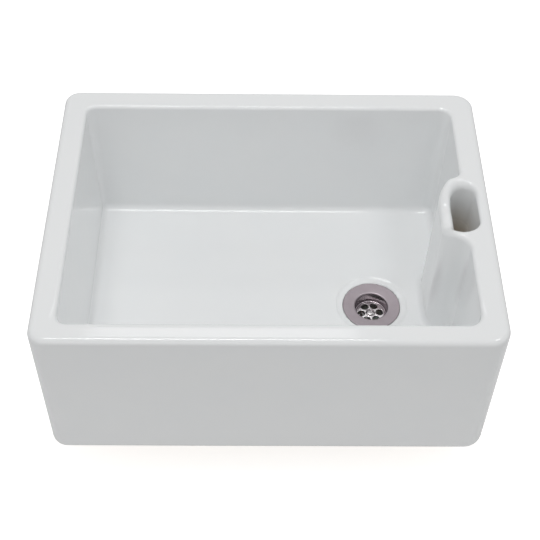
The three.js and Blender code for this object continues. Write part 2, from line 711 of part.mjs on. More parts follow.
// The moulded body: a rim, a funnel, a threaded outlet, and a ribbed boss for the nut.
function wasteBody() {
  const rim = BODY_RIM_DIAMETER / 2;
  const mouth = BODY_MOUTH_DIAMETER / 2;
  const bore = OUTLET_BORE / 2;
  const root = OUTLET_THREAD_DIAMETER / 2 - PIPE_THREAD_DEPTH * OUTLET_THREAD_PITCH;
  const neck = root - OUTLET_THREAD_RELIEF;
  const funnelEnd = -BODY_RIM_THICKNESS - FUNNEL_HEIGHT;
  const tail = funnelEnd - OUTLET_LENGTH;
  const outside = [
    [neck, tail],
    [neck, funnelEnd],
    [mouth + BODY_WALL, -BODY_RIM_THICKNESS],
    [rim, -BODY_RIM_THICKNESS],
    [rim, 0],
  ];
  const shell = turnedRing([...outside, [mouth, 0], [bore, funnelEnd], [bore, tail]]);
  const thread = threadedBar(
    OUTLET_THREAD_DIAMETER, OUTLET_THREAD_PITCH, PIPE_THREAD_DEPTH,
    tail, tail + OUTLET_THREAD_LENGTH, THREAD_STEPS,
  );
  const boreBar = roundBar(bore + GAP, tail - OVERCUT, OVERCUT);
  let body = shell.add(thread.subtract(boreBar));

  const bossTop = BOSS_TOP - BODY_HEIGHT;
  const bossBottom = bossTop - BOSS_CAP - GAP - NUT_HEIGHT - GAP;
  const envelope = turned([[0, tail], ...outside, [0, 0]]);
  for (let k = 0; k < RIB_COUNT; k++) {
    const rib = box(0, rim, -RIB_THICKNESS / 2, RIB_THICKNESS / 2, bossTop - RIB_HEIGHT, bossTop);
    body = body.add(rib.rotate([0, 0, (k * 360) / RIB_COUNT]).intersect(envelope));
  }
  const nutPocket = hexBar(
    NUT_ACROSS_FLATS + 2 * GAP, bossBottom - OVERCUT, bossTop - BOSS_CAP,
  );
  return body
    .add(roundBar(BOSS_RADIUS, bossBottom, bossTop, HOLE_STEPS))
    .subtract(nutPocket)
    .subtract(roundBar(SCREW_HOLE_RADIUS, bossBottom - OVERCUT, OVERCUT, HOLE_STEPS));
}

// ---------------------------------------------------------------- materials and assembly

function finish(color, roughness, metalness) {
  return new THREE.MeshStandardMaterial({ color, roughness, metalness });
}

const glazedFireclay = finish(0xeef1f2, 0.12, 0);
const satinSteel = finish(0xa9a3a5, 0.35, 1);
const polishedSteel = finish(0xc4c2c3, 0.15, 1);
const brightZinc = finish(0xb8b9bb, 0.25, 1);
const castBrass = finish(0xb08d4a, 0.35, 1);
const blackRubber = finish(0x1c1d1f, 0.8, 0);
const whitePlastic = finish(0xe4e5e2, 0.45, 0);

const sink = new THREE.Group();
sink.add(meshOf('sink_bowl', sinkBowl(), glazedFireclay));

const waste = new THREE.Group();
waste.position.set(OUTLET_X, OUTLET_Y, 0);
sink.add(waste);

function addToWaste(name, body, material, height) {
  const mesh = meshOf(name, body, material);
  mesh.position.z = height;
  waste.add(mesh);
}

addToWaste('flange_seal', flangeSeal(), blackRubber, RECESS_SEAT_HEIGHT + GAP);
addToWaste('waste_flange', wasteFlange(), satinSteel, FLANGE_HEIGHT);
addToWaste('strainer_grid', strainerGrid(), polishedSteel, GRID_HEIGHT);
addToWaste('screw_washer', screwWasher(), polishedSteel, WASHER_HEIGHT);
addToWaste('centre_screw', centreScrew(), brightZinc, SCREW_SEAT_HEIGHT);
addToWaste('body_seal', bodySeal(), blackRubber, BODY_SEAL_HEIGHT);
addToWaste('waste_body', wasteBody(), whitePlastic, BODY_HEIGHT);
addToWaste('insert_nut', insertNut(), castBrass, NUT_BOTTOM);

export default sink;
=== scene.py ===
# %% [markdown]
# # A glazed farmhouse sink
# The sink is one heavy fireclay casting, dipped in white glaze and fired, with a stainless
# waste screwed through its floor. The engineering model has every piece at its real size
# and place. This lesson gives the pieces their final surfaces: it keeps each one where the
# model has it, models again what needs softer or finer forms, and then adds the finishes,
# the threads and the lights.

import cmath
import math

import bpy
import numpy as np
from mathutils import Matrix, Vector


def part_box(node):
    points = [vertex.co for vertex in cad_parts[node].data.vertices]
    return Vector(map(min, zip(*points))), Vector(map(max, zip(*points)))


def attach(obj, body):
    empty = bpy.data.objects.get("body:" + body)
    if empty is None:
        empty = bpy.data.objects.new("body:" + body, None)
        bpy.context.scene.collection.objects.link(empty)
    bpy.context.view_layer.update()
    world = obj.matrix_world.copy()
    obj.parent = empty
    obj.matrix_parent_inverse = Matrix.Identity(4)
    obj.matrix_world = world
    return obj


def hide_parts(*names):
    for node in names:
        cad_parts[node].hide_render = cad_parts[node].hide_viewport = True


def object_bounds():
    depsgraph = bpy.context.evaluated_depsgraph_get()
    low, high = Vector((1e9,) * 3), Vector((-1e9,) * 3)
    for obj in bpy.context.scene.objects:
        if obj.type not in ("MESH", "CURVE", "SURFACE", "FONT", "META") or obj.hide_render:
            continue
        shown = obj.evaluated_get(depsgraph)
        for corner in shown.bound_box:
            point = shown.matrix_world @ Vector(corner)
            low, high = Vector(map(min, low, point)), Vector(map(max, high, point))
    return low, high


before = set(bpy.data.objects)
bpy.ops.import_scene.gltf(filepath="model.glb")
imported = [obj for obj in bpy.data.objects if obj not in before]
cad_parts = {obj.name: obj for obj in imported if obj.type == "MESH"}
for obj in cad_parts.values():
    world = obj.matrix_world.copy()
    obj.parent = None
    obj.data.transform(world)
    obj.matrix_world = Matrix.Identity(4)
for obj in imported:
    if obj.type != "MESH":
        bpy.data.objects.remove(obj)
cad_box = [[round(value, 5) for value in corner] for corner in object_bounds()]
print("engineering model, metres:", cad_box)

# %% [markdown]
# ## The camera
# The camera comes first, because every later choice is judged through it. The photograph
# was taken from in front of the apron and well above it, with a rather long lens. A camera
# can be placed by eye, but here it was worked out: the rim, the bowl and the flange each have
# a known size, so only one camera makes all of their edges fall where the photograph has
# them. The angles turn a camera that looks straight down, as Blender's do at rest.

# %% Camera
CAMERA_PLACE = Vector((-0.0152, -1.0193, 1.3545))
LOOKS_DOWN = math.radians(50.48)
LOOKS_RIGHT = math.radians(0.99)
ROLL = math.radians(1.07)
SENSOR_WIDTH = 36.0
LENS = 74.39

camera_data = bpy.data.cameras.new("camera")
camera_data.sensor_width = SENSOR_WIDTH
camera_data.lens = LENS
camera = bpy.data.objects.new("camera", camera_data)
bpy.context.scene.collection.objects.link(camera)
turn = (
    Matrix.Rotation(-LOOKS_RIGHT, 4, "Z")
    @ Matrix.Rotation(math.pi / 2 - LOOKS_DOWN, 4, "X")
    @ Matrix.Rotation(ROLL, 4, "Z")
)
camera.matrix_world = Matrix.Translation(CAMERA_PLACE) @ turn
bpy.context.scene.camera = camera
print("camera is", round(CAMERA_PLACE.length, 3), "m from the middle of the sink's underside")

# %% [markdown]
# ## Measures
# A potter's drawing of the mould is in millimetres, and so are the sizes below. Blender works
# in metres, and MM turns the one into the other. The casting's outer box and the place of
# the waste come from the engineering model, so they can't drift apart. Every other size is
# named where it is first used.

# %% Measures from the engineering model
MM = 0.001


def piece_box(node):
    """The lowest and the highest corner of an engineering piece, in millimetres."""
    return [np.array(corner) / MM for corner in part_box(node)]


sink_low, sink_high = piece_box("sink_bowl")
flange_low, flange_high = piece_box("waste_flange")
outlet_x, outlet_y = ((flange_low + flange_high) / 2)[:2]
rim_height = sink_high[2]
print("casting, mm:", (sink_high - sink_low).round(1), "with its outlet at",
      round(outlet_x, 1), round(outlet_y, 1))

# %% [markdown]
# ## The casting as a distance
# Glaze flows: on the real sink no edge is sharp, and every surface runs into the next in
# one soft curve, most of all round the weir, where the rim dips, opens towards the bowl and
# turns down into the overflow shaft. Booleans with a Bevel modifier struggle where three
# rounded edges meet. So the form is written as a distance instead: a function that says how
# far a point is from the surface, negative inside the clay. Solids join, cut and round in
# such a function with simple arithmetic, and the rounding is exact.

# %% Rounded joins of distances
def rounded_max(a, b, radius):
    """What is in both solids, with the edge where they meet rounded to a radius."""
    inside = np.minimum(np.maximum(a, b), -radius)
    return inside + np.hypot(np.maximum(a + radius, 0), np.maximum(b + radius, 0))


def rounded_min(a, b, radius):
    """What is in either solid, with the inner corner where they meet filled to a radius."""
    return -rounded_max(-a, -b, radius)


def smooth_step(share):
    """Rises from 0 to 1 with level ends."""
    share = np.clip(share, 0, 1)
    return share * share * (3 - 2 * share)


def smooth_step_slope(share):
    """How steep smooth_step is, for a share from 0 to 1."""
    return 6 * share * (1 - share)


print("an edge rounded to 8 mm loses", round(rounded_max(0.0, 0.0, 8.0), 2), "mm at its corner")

# %% A rounded rectangle in plan
def plan_rectangle(x, y, left, right, front, back, corners):
    """The distance to a rectangle in plan. Its corners have one radius, or four of their own:
    left front, right front, left back, right back."""
    middle_x, middle_y = (left + right) / 2, (front + back) / 2
    radius = corners
    if np.ndim(corners):
        at_front = np.where(x < middle_x, corners[0], corners[1])
        at_back = np.where(x < middle_x, corners[2], corners[3])
        radius = np.where(y < middle_y, at_front, at_back)
    across = np.abs(x - middle_x) - (right - left) / 2 + radius
    along = np.abs(y - middle_y) - (back - front) / 2 + radius
    outside = np.hypot(np.maximum(across, 0), np.maximum(along, 0))
    return np.minimum(np.maximum(across, along), 0) + outside - radius


print("the middle of a 60 x 40 mm plate is",
      plan_rectangle(0.0, 0.0, -30.0, 30.0, -20.0, 20.0, 5.0), "mm from its edge")

# %% Where the bowl lies
END_WALL, FRONT_WALL, BACK_WALL = 34.0, 32.0, 35.0
BOWL_DEPTH = 212.0

bowl_left, bowl_right = sink_low[0] + END_WALL, sink_high[0] - END_WALL
bowl_front, bowl_back = sink_low[1] + FRONT_WALL, sink_high[1] - BACK_WALL
bowl_floor = rim_height - BOWL_DEPTH
print("bowl inside, mm:", round(bowl_right - bowl_left, 1), "x", round(bowl_back - bowl_front, 1),
      "x", BOWL_DEPTH)

# %% Where the overflow lies
OVERFLOW_OFFSET = 2.5
POCKET_LENGTH, POCKET_WIDTH, POCKET_OUTER_WALL = 85.0, 31.5, 16.5
LIP_THICKNESS = 16.0
COLUMN_END_WALL = 17.0

overflow_y = (bowl_front + bowl_back) / 2 + OVERFLOW_OFFSET
pocket_right = sink_high[0] - POCKET_OUTER_WALL
pocket_left = pocket_right - POCKET_WIDTH
column_nose = pocket_left - LIP_THICKNESS
column_half = POCKET_LENGTH / 2 + COLUMN_END_WALL
print("the overflow's column stands", round(bowl_right - column_nose, 1), "mm into the bowl")

# %% [markdown]
# ## The weir
# When the bowl fills up, the water runs over a low lip at the right-hand end and falls down a
# shaft to the outlet. The rim dips to this lip and opens towards the bowl like a mouth. The
# dip could be sculpted by hand, but written as a height for each place in plan it stays
# smooth and can be measured. It starts softly at the front of the shaft, and with a
# tighter edge round its back.

# %% The dip of the rim over the shaft
WEIR_DROP, WEIR_RAMP = 20.0, 38.0
WEIR_FRONT_MARGIN, WEIR_BACK_MARGIN, WEIR_SIDE_MARGIN = 8.5, 10.0, 5.5
WEIR_CORNER_RADIUS, WEIR_MOUTH_RADIUS, WEIR_MOUTH_HALF = 32.5, 22.0, 110.0
WEIR_BACK_SLOPE, WEIR_BACK_EDGE, WEIR_BACK_REACH = 0.72, 2.5, 42.0


def weir_level(x, y):
    """How high the rim stands at a place in plan, and how steep it is there."""
    stem = plan_rectangle(
        x, y, column_nose - 2 * column_half, pocket_right + WEIR_SIDE_MARGIN,
        overflow_y - POCKET_LENGTH / 2 - WEIR_FRONT_MARGIN,
        overflow_y + POCKET_LENGTH / 2 + WEIR_BACK_MARGIN, WEIR_CORNER_RADIUS,
    )
    mouth = plan_rectangle(
        x, y, bowl_left, column_nose, overflow_y - WEIR_MOUTH_HALF,
        overflow_y + WEIR_MOUTH_HALF, 0,
    )
    plan = rounded_min(stem, mouth, WEIR_MOUTH_RADIUS)
    inside = np.maximum(-plan, 0)
    share = np.clip(inside / WEIR_RAMP, 0, 1)
    soft_drop = WEIR_DROP * smooth_step(share)
    soft_slope = smooth_step_slope(share) * WEIR_DROP / WEIR_RAMP
    along = np.hypot(inside, WEIR_BACK_EDGE)
    tight_drop = WEIR_BACK_SLOPE * (along - WEIR_BACK_EDGE)
    tight_slope = WEIR_BACK_SLOPE * inside / along
    at_back = smooth_step((y - overflow_y) / WEIR_BACK_REACH)
    drop = soft_drop + (tight_drop - soft_drop) * at_back
    return rim_height - drop, soft_slope + (tight_slope - soft_slope) * at_back


print("the lip's middle is", round(float(weir_level(column_nose, overflow_y)[0]), 1), "mm high")

# %% The outer block
OUTER_CORNER_LEFT, OUTER_CORNER_RIGHT = 21.0, 26.0
OUTER_RIM_RADIUS = 8.0
BASE_EDGE_RADIUS = 18.0


def block_distance(x, y, z):
    """The outside of the casting, as if it had no bowl, with the rim dipped at the weir."""
    corners = (OUTER_CORNER_LEFT, OUTER_CORNER_RIGHT) * 2
    plan = plan_rectangle(x, y, sink_low[0], sink_high[0], sink_low[1], sink_high[1], corners)
    level, steepness = weir_level(x, y)
    topped = rounded_max(plan, (z - level) / np.hypot(1, steepness), OUTER_RIM_RADIUS)
    return rounded_max(topped, -z, BASE_EDGE_RADIUS)


in_the_wall = (sink_low[0] + END_WALL / 2, 0.0, rim_height / 2)
print("the end wall's middle is at", round(float(block_distance(*in_the_wall)), 1), "mm")

# %% [markdown]
# ## The bowl and its outlet
# A casting has to leave its mould, so the bowl's walls lean in a little towards the floor,
# and that floor falls gently to the outlet so that the last water leaves. Round the flange
# the floor has a small soft step and a sloping ledge, and the flange sits in that, a little
# below the floor. Boolean cutters could make the steps, but all of it has soft edges, so it is
# cut out of the block in the same arithmetic.

# %% The floor
FLOOR_FALL = 1.5
RECESS_RADIUS, RECESS_STEP_RADIUS, SEAT_RADIUS = 53.6, 50.4, 42.5
RECESS_DEPTH, RECESS_STEP, LEDGE_FALL = 9.0, 0.9, 2.3
LEDGE_EDGE_RADIUS = 0.5


def floor_distance(x, y, z):
    """The space above the floor, its soft step, its ledge and the flange's seat."""
    away = np.hypot(x - outlet_x, y - outlet_y)
    reach = outlet_x - bowl_left
    fall = FLOOR_FALL * (1 - np.clip((away - RECESS_RADIUS) / (reach - RECESS_RADIUS), 0, 1))
    width = RECESS_RADIUS - RECESS_STEP_RADIUS
    share = np.clip((RECESS_RADIUS - away) / width, 0, 1)
    ledge = LEDGE_FALL * np.clip((RECESS_RADIUS - away) / (RECESS_RADIUS - SEAT_RADIUS), 0, 1)
    level = bowl_floor - fall - RECESS_STEP * smooth_step(share) - ledge
    steepness = smooth_step_slope(share) * RECESS_STEP / width
    floor = (level - z) / np.hypot(1, steepness)
    seat = np.maximum(away - SEAT_RADIUS, bowl_floor - RECESS_DEPTH - z)
    return -rounded_max(-floor, -seat, LEDGE_EDGE_RADIUS)


print("the flange's seat lies", RECESS_DEPTH, "mm below the floor's highest part")

# %% The bowl's walls and the column
BOWL_CORNER_LEFT, BOWL_CORNER_RIGHT = 13.0, 18.0
INNER_RIM_RADIUS = 5.0
WALL_DRAFT = math.radians(0.8)
FLOOR_FILLET = 10.0
COLUMN_CORNER_FRONT, COLUMN_CORNER_BACK = 37.0, 30.0
COLUMN_ROOT_FRONT, COLUMN_ROOT_BACK = 13.0, 10.0


def bowl_distance(x, y, z):
    """The space in the bowl, with the overflow's column standing in its right-hand end."""
    lean = math.tan(WALL_DRAFT) * (rim_height - INNER_RIM_RADIUS - z)
    corners = (BOWL_CORNER_LEFT, BOWL_CORNER_RIGHT) * 2
    plan = plan_rectangle(x, y, bowl_left, bowl_right, bowl_front, bowl_back, corners) + lean
    far_right = sink_high[0] + column_half
    column = plan_rectangle(
        x, y, column_nose, far_right, overflow_y - column_half, overflow_y + column_half,
        (COLUMN_CORNER_FRONT, COLUMN_CORNER_FRONT, COLUMN_CORNER_BACK, COLUMN_CORNER_BACK),
    ) - lean
    root = np.where(y < overflow_y, COLUMN_ROOT_FRONT, COLUMN_ROOT_BACK)
    walls = rounded_max(plan, -column, root)
    return rounded_max(walls, floor_distance(x, y, z), FLOOR_FILLET)


print("the bowl's walls lean in by", round(math.tan(WALL_DRAFT) * BOWL_DEPTH, 1), "mm")

# %% The shaft and the channel
POCKET_CORNERS = (11.0, 20.0, 13.0, 18.0)
CHANNEL_WIDTH, CHANNEL_HEIGHT, CHANNEL_FLOOR = 40.0, 14.0, 13.0
CHANNEL_CORNER_RADIUS = 5.0


def shaft_distance(x, y, z):
    """The upright shaft behind the lip."""
    plan = plan_rectangle(
        x, y, pocket_left, pocket_right, overflow_y - POCKET_LENGTH / 2,
        overflow_y + POCKET_LENGTH / 2, POCKET_CORNERS,
    )
    return rounded_max(plan, CHANNEL_FLOOR - z, CHANNEL_CORNER_RADIUS)


def channel_distance(x, y, z):
    """The level channel from the foot of the shaft to the side of the outlet hole."""
    section = plan_rectangle(
        y, z, outlet_y - CHANNEL_WIDTH / 2, outlet_y + CHANNEL_WIDTH / 2,
        CHANNEL_FLOOR, CHANNEL_FLOOR + CHANNEL_HEIGHT, CHANNEL_CORNER_RADIUS,
    )
    ends = np.maximum(outlet_x - x, x - (pocket_right - CHANNEL_HEIGHT))
    return np.maximum(section, ends)


shaft_depth = rim_height - WEIR_DROP - CHANNEL_FLOOR
print("the shaft is", round(shaft_depth, 1), "mm deep behind the lip")

# %% How round the edges are
SOFT_RIM_RADIUS, SOFT_RIM_REACH = 8.5, 30.0
POCKET_RIM_RADIUS, POCKET_SOFT_RADIUS = 4.0, 7.0


def rim_edge_radius(x, y):
    """The bowl's edge is softer along the front wall and round the overflow's column."""
    by_front = smooth_step((bowl_front + SOFT_RIM_REACH - y) / SOFT_RIM_REACH)
    by_column_end = smooth_step((x - column_nose + SOFT_RIM_REACH) / SOFT_RIM_REACH)
    past_flank = np.abs(y - overflow_y) - column_half
    by_flank = smooth_step((SOFT_RIM_REACH - past_flank) / SOFT_RIM_REACH)
    softness = np.maximum(by_front, by_column_end * by_flank)
    return INNER_RIM_RADIUS + (SOFT_RIM_RADIUS - INNER_RIM_RADIUS) * softness


def shaft_edge_radius(x, y):
    """The shaft's edge is soft along the lip and at the back, and tighter elsewhere."""
    by_lip = smooth_step(1 - (x - pocket_left) / LIP_THICKNESS)
    by_back = smooth_step((y - overflow_y) / (POCKET_LENGTH / 2))
    softness = np.maximum(by_lip, by_back)
    return POCKET_RIM_RADIUS + (POCKET_SOFT_RADIUS - POCKET_RIM_RADIUS) * softness


print("edge radius in front and behind, mm:", rim_edge_radius(0.0, bowl_front),
      rim_edge_radius(0.0, bowl_back))

# %% The whole casting
OUTLET_HOLE_RADIUS = 30.0
SPOT_FACE_RADIUS, SPOT_FACE_DEPTH = 52.0, 5.0
HOLE_EDGE_RADIUS = 2.0


def sink_distance(x, y, z):
    """How far a point is from the sink's surface, in millimetres, negative in the clay."""
    clay = rounded_max(block_distance(x, y, z), -bowl_distance(x, y, z), rim_edge_radius(x, y))
    clay = rounded_max(clay, -shaft_distance(x, y, z), shaft_edge_radius(x, y))
    away = np.hypot(x - outlet_x, y - outlet_y)
    clay = rounded_max(clay, OUTLET_HOLE_RADIUS - away, HOLE_EDGE_RADIUS)
    spot_face = np.maximum(away - SPOT_FACE_RADIUS, z - SPOT_FACE_DEPTH)
    clay = rounded_max(clay, -spot_face, HOLE_EDGE_RADIUS)
    return rounded_max(clay, -channel_distance(x, y, z), HOLE_EDGE_RADIUS)


in_the_floor = (0.0, 0.0, bowl_floor / 2)
above_the_rim = (sink_low[0] + END_WALL / 2, 0.0, rim_height + END_WALL)
print("distance in the floor and above the rim, mm:",
      [round(float(sink_distance(*place)), 1) for place in (in_the_floor, above_the_rim)])

# %% [markdown]
# ## From a distance to a mesh
# A grid of points is laid through the block, close where the form turns and wide where it
# is flat. Each grid cell that the surface passes through gets one corner of the mesh, and
# each grid edge that it crosses gets one four-sided face. This method is called surface
# nets. It always gives a closed mesh of quads, where Blender's own Remesh modifier would
# use the same fine step everywhere. The corners are then slid onto the exact surface, and
# their normals come straight from the function, so that reflections in the glaze run as
# cleanly as on the real sink.

# %% Grid lines
def grid_lines(stretches, end):
    """Lines from the first stretch's start to the end. A stretch is its start and about the
    step between its lines, and it stops where the next one starts."""
    starts = [start for start, _ in stretches]
    lines = [np.array([starts[0]])]
    for (start, step), stop in zip(stretches, starts[1:] + [end]):
        count = max(1, round((stop - start) / step))
        lines.append(np.linspace(start, stop, count + 1)[1:])
    return np.concatenate(lines)


print("a length of 20 mm in steps of about 6:", grid_lines([(0.0, 6.0)], 20.0).round(1))

# %% The casting's grid
MARGIN = 2.0
FINE, WIDE, EDGE = 3.1, 9.0, 1.7
APRON_STEP, COLUMN_STEP, FOOT_STEP, ROOT_STEP = FINE * 0.8, FINE * 0.9, FINE * 1.2, FINE * 0.7
BESIDE_OUTLET_STEP = FINE * 1.3
EDGE_OUTSIDE, EDGE_INSIDE = 7, 3
CORNER_REACH, OUTLET_REACH = 16, 60
FOOT_HEIGHT, ROOT_HEIGHT = 28, 14
WEIR_REACH, RIM_REACH = 18, 8

x_lines = grid_lines([
    (sink_low[0] - MARGIN, FINE),
    (bowl_left - EDGE_OUTSIDE, EDGE),
    (bowl_left + EDGE_INSIDE, FINE),
    (bowl_left + CORNER_REACH, WIDE),
    (outlet_x - OUTLET_REACH, FINE),
    (outlet_x + OUTLET_REACH, BESIDE_OUTLET_STEP),
    (column_nose - CORNER_REACH, COLUMN_STEP),
    (bowl_right - EDGE_INSIDE, EDGE),
    (bowl_right + EDGE_OUTSIDE, FINE),
], sink_high[0] + MARGIN)
y_lines = grid_lines([
    (sink_low[1] - MARGIN, APRON_STEP),
    (bowl_front - EDGE_OUTSIDE, EDGE),
    (bowl_front + EDGE_INSIDE, FINE),
    (bowl_front + CORNER_REACH, WIDE),
    (overflow_y - column_half - CORNER_REACH, COLUMN_STEP),
    (overflow_y + column_half + CORNER_REACH, WIDE),
    (bowl_back - CORNER_REACH, FINE),
    (bowl_back - EDGE_INSIDE, EDGE),
    (bowl_back + EDGE_OUTSIDE, FINE),
], sink_high[1] + MARGIN)
z_lines = grid_lines([
    (-MARGIN, FOOT_STEP),
    (FOOT_HEIGHT, ROOT_STEP),
    (bowl_floor + ROOT_HEIGHT, WIDE),
    (rim_height - WEIR_DROP - WEIR_REACH, COLUMN_STEP),
    (rim_height - RIM_REACH, EDGE),
], rim_height + MARGIN)
print("grid:", len(x_lines), "x", len(y_lines), "x", len(z_lines), "lines")

# %% Surface nets: the corners
def net_corners(distance, lines):
    """One corner for each cell that the surface crosses: the mean of its edge crossings."""
    sizes = [len(line) for line in lines]
    total = np.zeros([size - 1 for size in sizes] + [3])
    count = np.zeros([size - 1 for size in sizes])
    for axis in range(3):
        low = distance.take(range(sizes[axis] - 1), axis)
        high = distance.take(range(1, sizes[axis]), axis)
        crosses = (low < 0) != (high < 0)
        share = np.where(crosses, low / np.where(crosses, low - high, 1), 0)
        places = list(np.meshgrid(*[
            line[:-1] if k == axis else line for k, line in enumerate(lines)
        ], indexing="ij"))
        shape = [1, 1, 1]
        shape[axis] = sizes[axis] - 1
        places[axis] = places[axis] + share * np.diff(lines[axis]).reshape(shape)
        others = [k for k in range(3) if k != axis]
        for first in (0, 1):
            for second in (0, 1):
                cut = [slice(None)] * 3
                cut[others[0]] = slice(first, sizes[others[0]] - 1 + first)
                cut[others[1]] = slice(second, sizes[others[1]] - 1 + second)
                hit = crosses[tuple(cut)]
                count += hit
                for k in range(3):
                    total[..., k] += np.where(hit, places[k][tuple(cut)], 0)
    return total, count


# %% Surface nets: the faces
def net_faces(distance, number):
    """One quad for each grid edge that the surface crosses, turned to face outwards."""
    faces = []
    for axis in range(3):
        second, third = (axis + 1) % 3, (axis + 2) % 3
        size = distance.shape[axis]
        low = distance.take(range(size - 1), axis) < 0
        high = distance.take(range(1, size), axis) < 0
        where = np.argwhere(low != high)
        where = where[(where[:, second] > 0) & (where[:, third] > 0)]
        where = where[(where[:, second] < distance.shape[second] - 1)
                      & (where[:, third] < distance.shape[third] - 1)]
        ring = []
        for step_second, step_third in ((-1, -1), (0, -1), (0, 0), (-1, 0)):
            cell = where.copy()
            cell[:, second] += step_second
            cell[:, third] += step_third
            ring.append(number[cell[:, 0], cell[:, 1], cell[:, 2]])
        ring = np.stack(ring, 1)
        outward = low[where[:, 0], where[:, 1], where[:, 2]]
        faces.append(np.where(outward[:, None], ring, ring[:, ::-1]))
    return np.concatenate(faces)


# %% Sliding the corners onto the surface
SLOPE_REACH = 0.05
LEAST_SLOPE = 0.5
LONGEST_MOVE = 2


def slope(function, points):
    """The direction in which a distance grows fastest, at each point."""
    out = np.empty_like(points)
    for axis in range(3):
        step = np.zeros(3)
        step[axis] = SLOPE_REACH
        out[:, axis] = function(*(points + step).T) - function(*(points - step).T)
    return out / (2 * SLOPE_REACH)


def slide_onto(function, points, rounds):
    """Each corner moves against the slope by its own distance, a few times over."""
    for _ in range(rounds):
        direction = slope(function, points)
        square = np.maximum((direction ** 2).sum(1), LEAST_SLOPE ** 2)
        move = function(*points.T) / square
        points = points - direction * np.clip(move, -LONGEST_MOVE, LONGEST_MOVE)[:, None]
    return points


def evened(points, faces):
    """Each corner moves halfway to the mean of its neighbours."""
    total = np.zeros_like(points)
    count = np.zeros(len(points))
    for k in range(4):
        here, there = faces[:, k], faces[:, (k + 1) % 4]
        for a, b in ((here, there), (there, here)):
            np.add.at(total, a, points[b])
            np.add.at(count, a, 1)
    return (points + total / count[:, None]) / 2


# %% A distance as a Blender object
FIRST_SLIDES, LATER_SLIDES = 4, 3


def mesh_piece(name, points, faces, normals):
    """A smooth-shaded object in metres from points in millimetres."""
    mesh = bpy.data.meshes.new(name)
    mesh.from_pydata(points * MM, [], faces)
    mesh.validate()
    mesh.shade_smooth()
    mesh.normals_split_custom_set_from_vertices(normals)
    piece = bpy.data.objects.new(name, mesh)
    bpy.context.scene.collection.objects.link(piece)
    print(name, "has", 2 * len(faces), "triangles")
    return piece


def solid_mesh(name, function, lines, evening=2):
    """The surface where a distance is zero, as an object. The evening spreads its corners."""
    x, y, z = np.meshgrid(*lines, indexing="ij")
    distance = function(x, y, z)
    total, count = net_corners(distance, lines)
    used = count > 0
    number = np.full(used.shape, -1)
    number[used] = np.arange(used.sum())
    points = total[used] / count[used][:, None]
    faces = net_faces(distance, number)
    points = slide_onto(function, points, FIRST_SLIDES)
    for _ in range(evening):
        points = slide_onto(function, evened(points, faces), LATER_SLIDES)
    normals = slope(function, points)
    normals /= np.linalg.norm(normals, axis=1)[:, None]
    error = np.abs(function(*points.T)).max()
    print(name, "lies within", round(error, 3), "mm of its form")
    return mesh_piece(name, points, faces, normals)


# %% The casting's mesh
casting = solid_mesh("casting", sink_distance, (x_lines, y_lines, z_lines))
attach(casting, "root")
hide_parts("sink_bowl")

# %% [markdown]
# ## The waste
# The waste is turned and pressed metal on a moulded plastic body, all round one upright axis.
# The ring in the floor is a pressed steel sheet. Blender's Screw modifier could sweep its
# outline round the axis, but smooth shading would then average the flats and the bends where
# they meet. Here each corner of the outline gets an arc, and the normals come from the arcs,
# so a few faces already shade as one smooth bend and the flats stay flat.

# %% Outlines with rounded corners
ARC_STEPS = 6


def rounded_outline(corners):
    """Points along a closed outline whose corners have radii, and the normals there. Corners
    are (radius from the axis, height, corner radius), listed anticlockwise."""
    places = [complex(*corner[:2]) for corner in corners]
    points, normals = [], []
    for k, (_, _, radius) in enumerate(corners):
        here = places[k]
        back, ahead = places[k - 1] - here, places[(k + 1) % len(places)] - here
        back, ahead = back / abs(back), ahead / abs(ahead)
        half = abs(cmath.phase(ahead / back)) / 2
        centre = here + (back + ahead) / abs(back + ahead) * radius / math.sin(half)
        first = (here + back * radius / math.tan(half) - centre) / radius
        last = (here + ahead * radius / math.tan(half) - centre) / radius
        sweep = cmath.phase(last / first)
        for step in range(ARC_STEPS + 1):
            arm = first * cmath.exp(1j * sweep * step / ARC_STEPS)
            points.append(centre + radius * arm)
            normals.append(arm if sweep > 0 else -arm)
    return np.array(points), np.array(normals)


# %% Turned pieces
TURN_STEPS = 144


def turned_ring(name, corners):
    """A ring round the waste's axis with this outline, as an object in metres."""
    outline, outward = rounded_outline(corners)
    angles = np.arange(TURN_STEPS) * 2 * math.pi / TURN_STEPS
    around = np.stack([np.cos(angles), np.sin(angles)], 1)

    def swept(values):
        flat = values.real[:, None, None] * around[None]
        tall = np.broadcast_to(values.imag[:, None, None], flat.shape[:2] + (1,))
        return np.concatenate([flat, tall], 2).reshape(-1, 3)

    points = swept(outline) + [outlet_x, outlet_y, 0]
    row, column = np.indices((len(outline), TURN_STEPS))
    next_row, next_column = (row + 1) % len(outline), (column + 1) % TURN_STEPS
    ring = [row * TURN_STEPS + column, row * TURN_STEPS + next_column,
            next_row * TURN_STEPS + next_column, next_row * TURN_STEPS + column]
    faces = np.stack(ring, -1).reshape(-1, 4)
    return mesh_piece(name, points, faces, swept(outward))


# %% The pressed flange
SHEET = 1.2
FLANGE_DISH, FLANGE_BEND, FLANGE_EDGE = 1.0, 2.5, 0.55
CUP_RADIUS, CUP_DEPTH = 24.0, 19.5
CUP_INNER_BEND, CUP_OUTER_BEND = 1.6, 2.0
GRID_RADIUS, GRID_SEAT_WIDTH = 21.0, 1.6
SPIGOT_INNER_BEND, SPIGOT_OUTER_BEND, SPIGOT_EDGE = 0.6, 0.3, 0.4

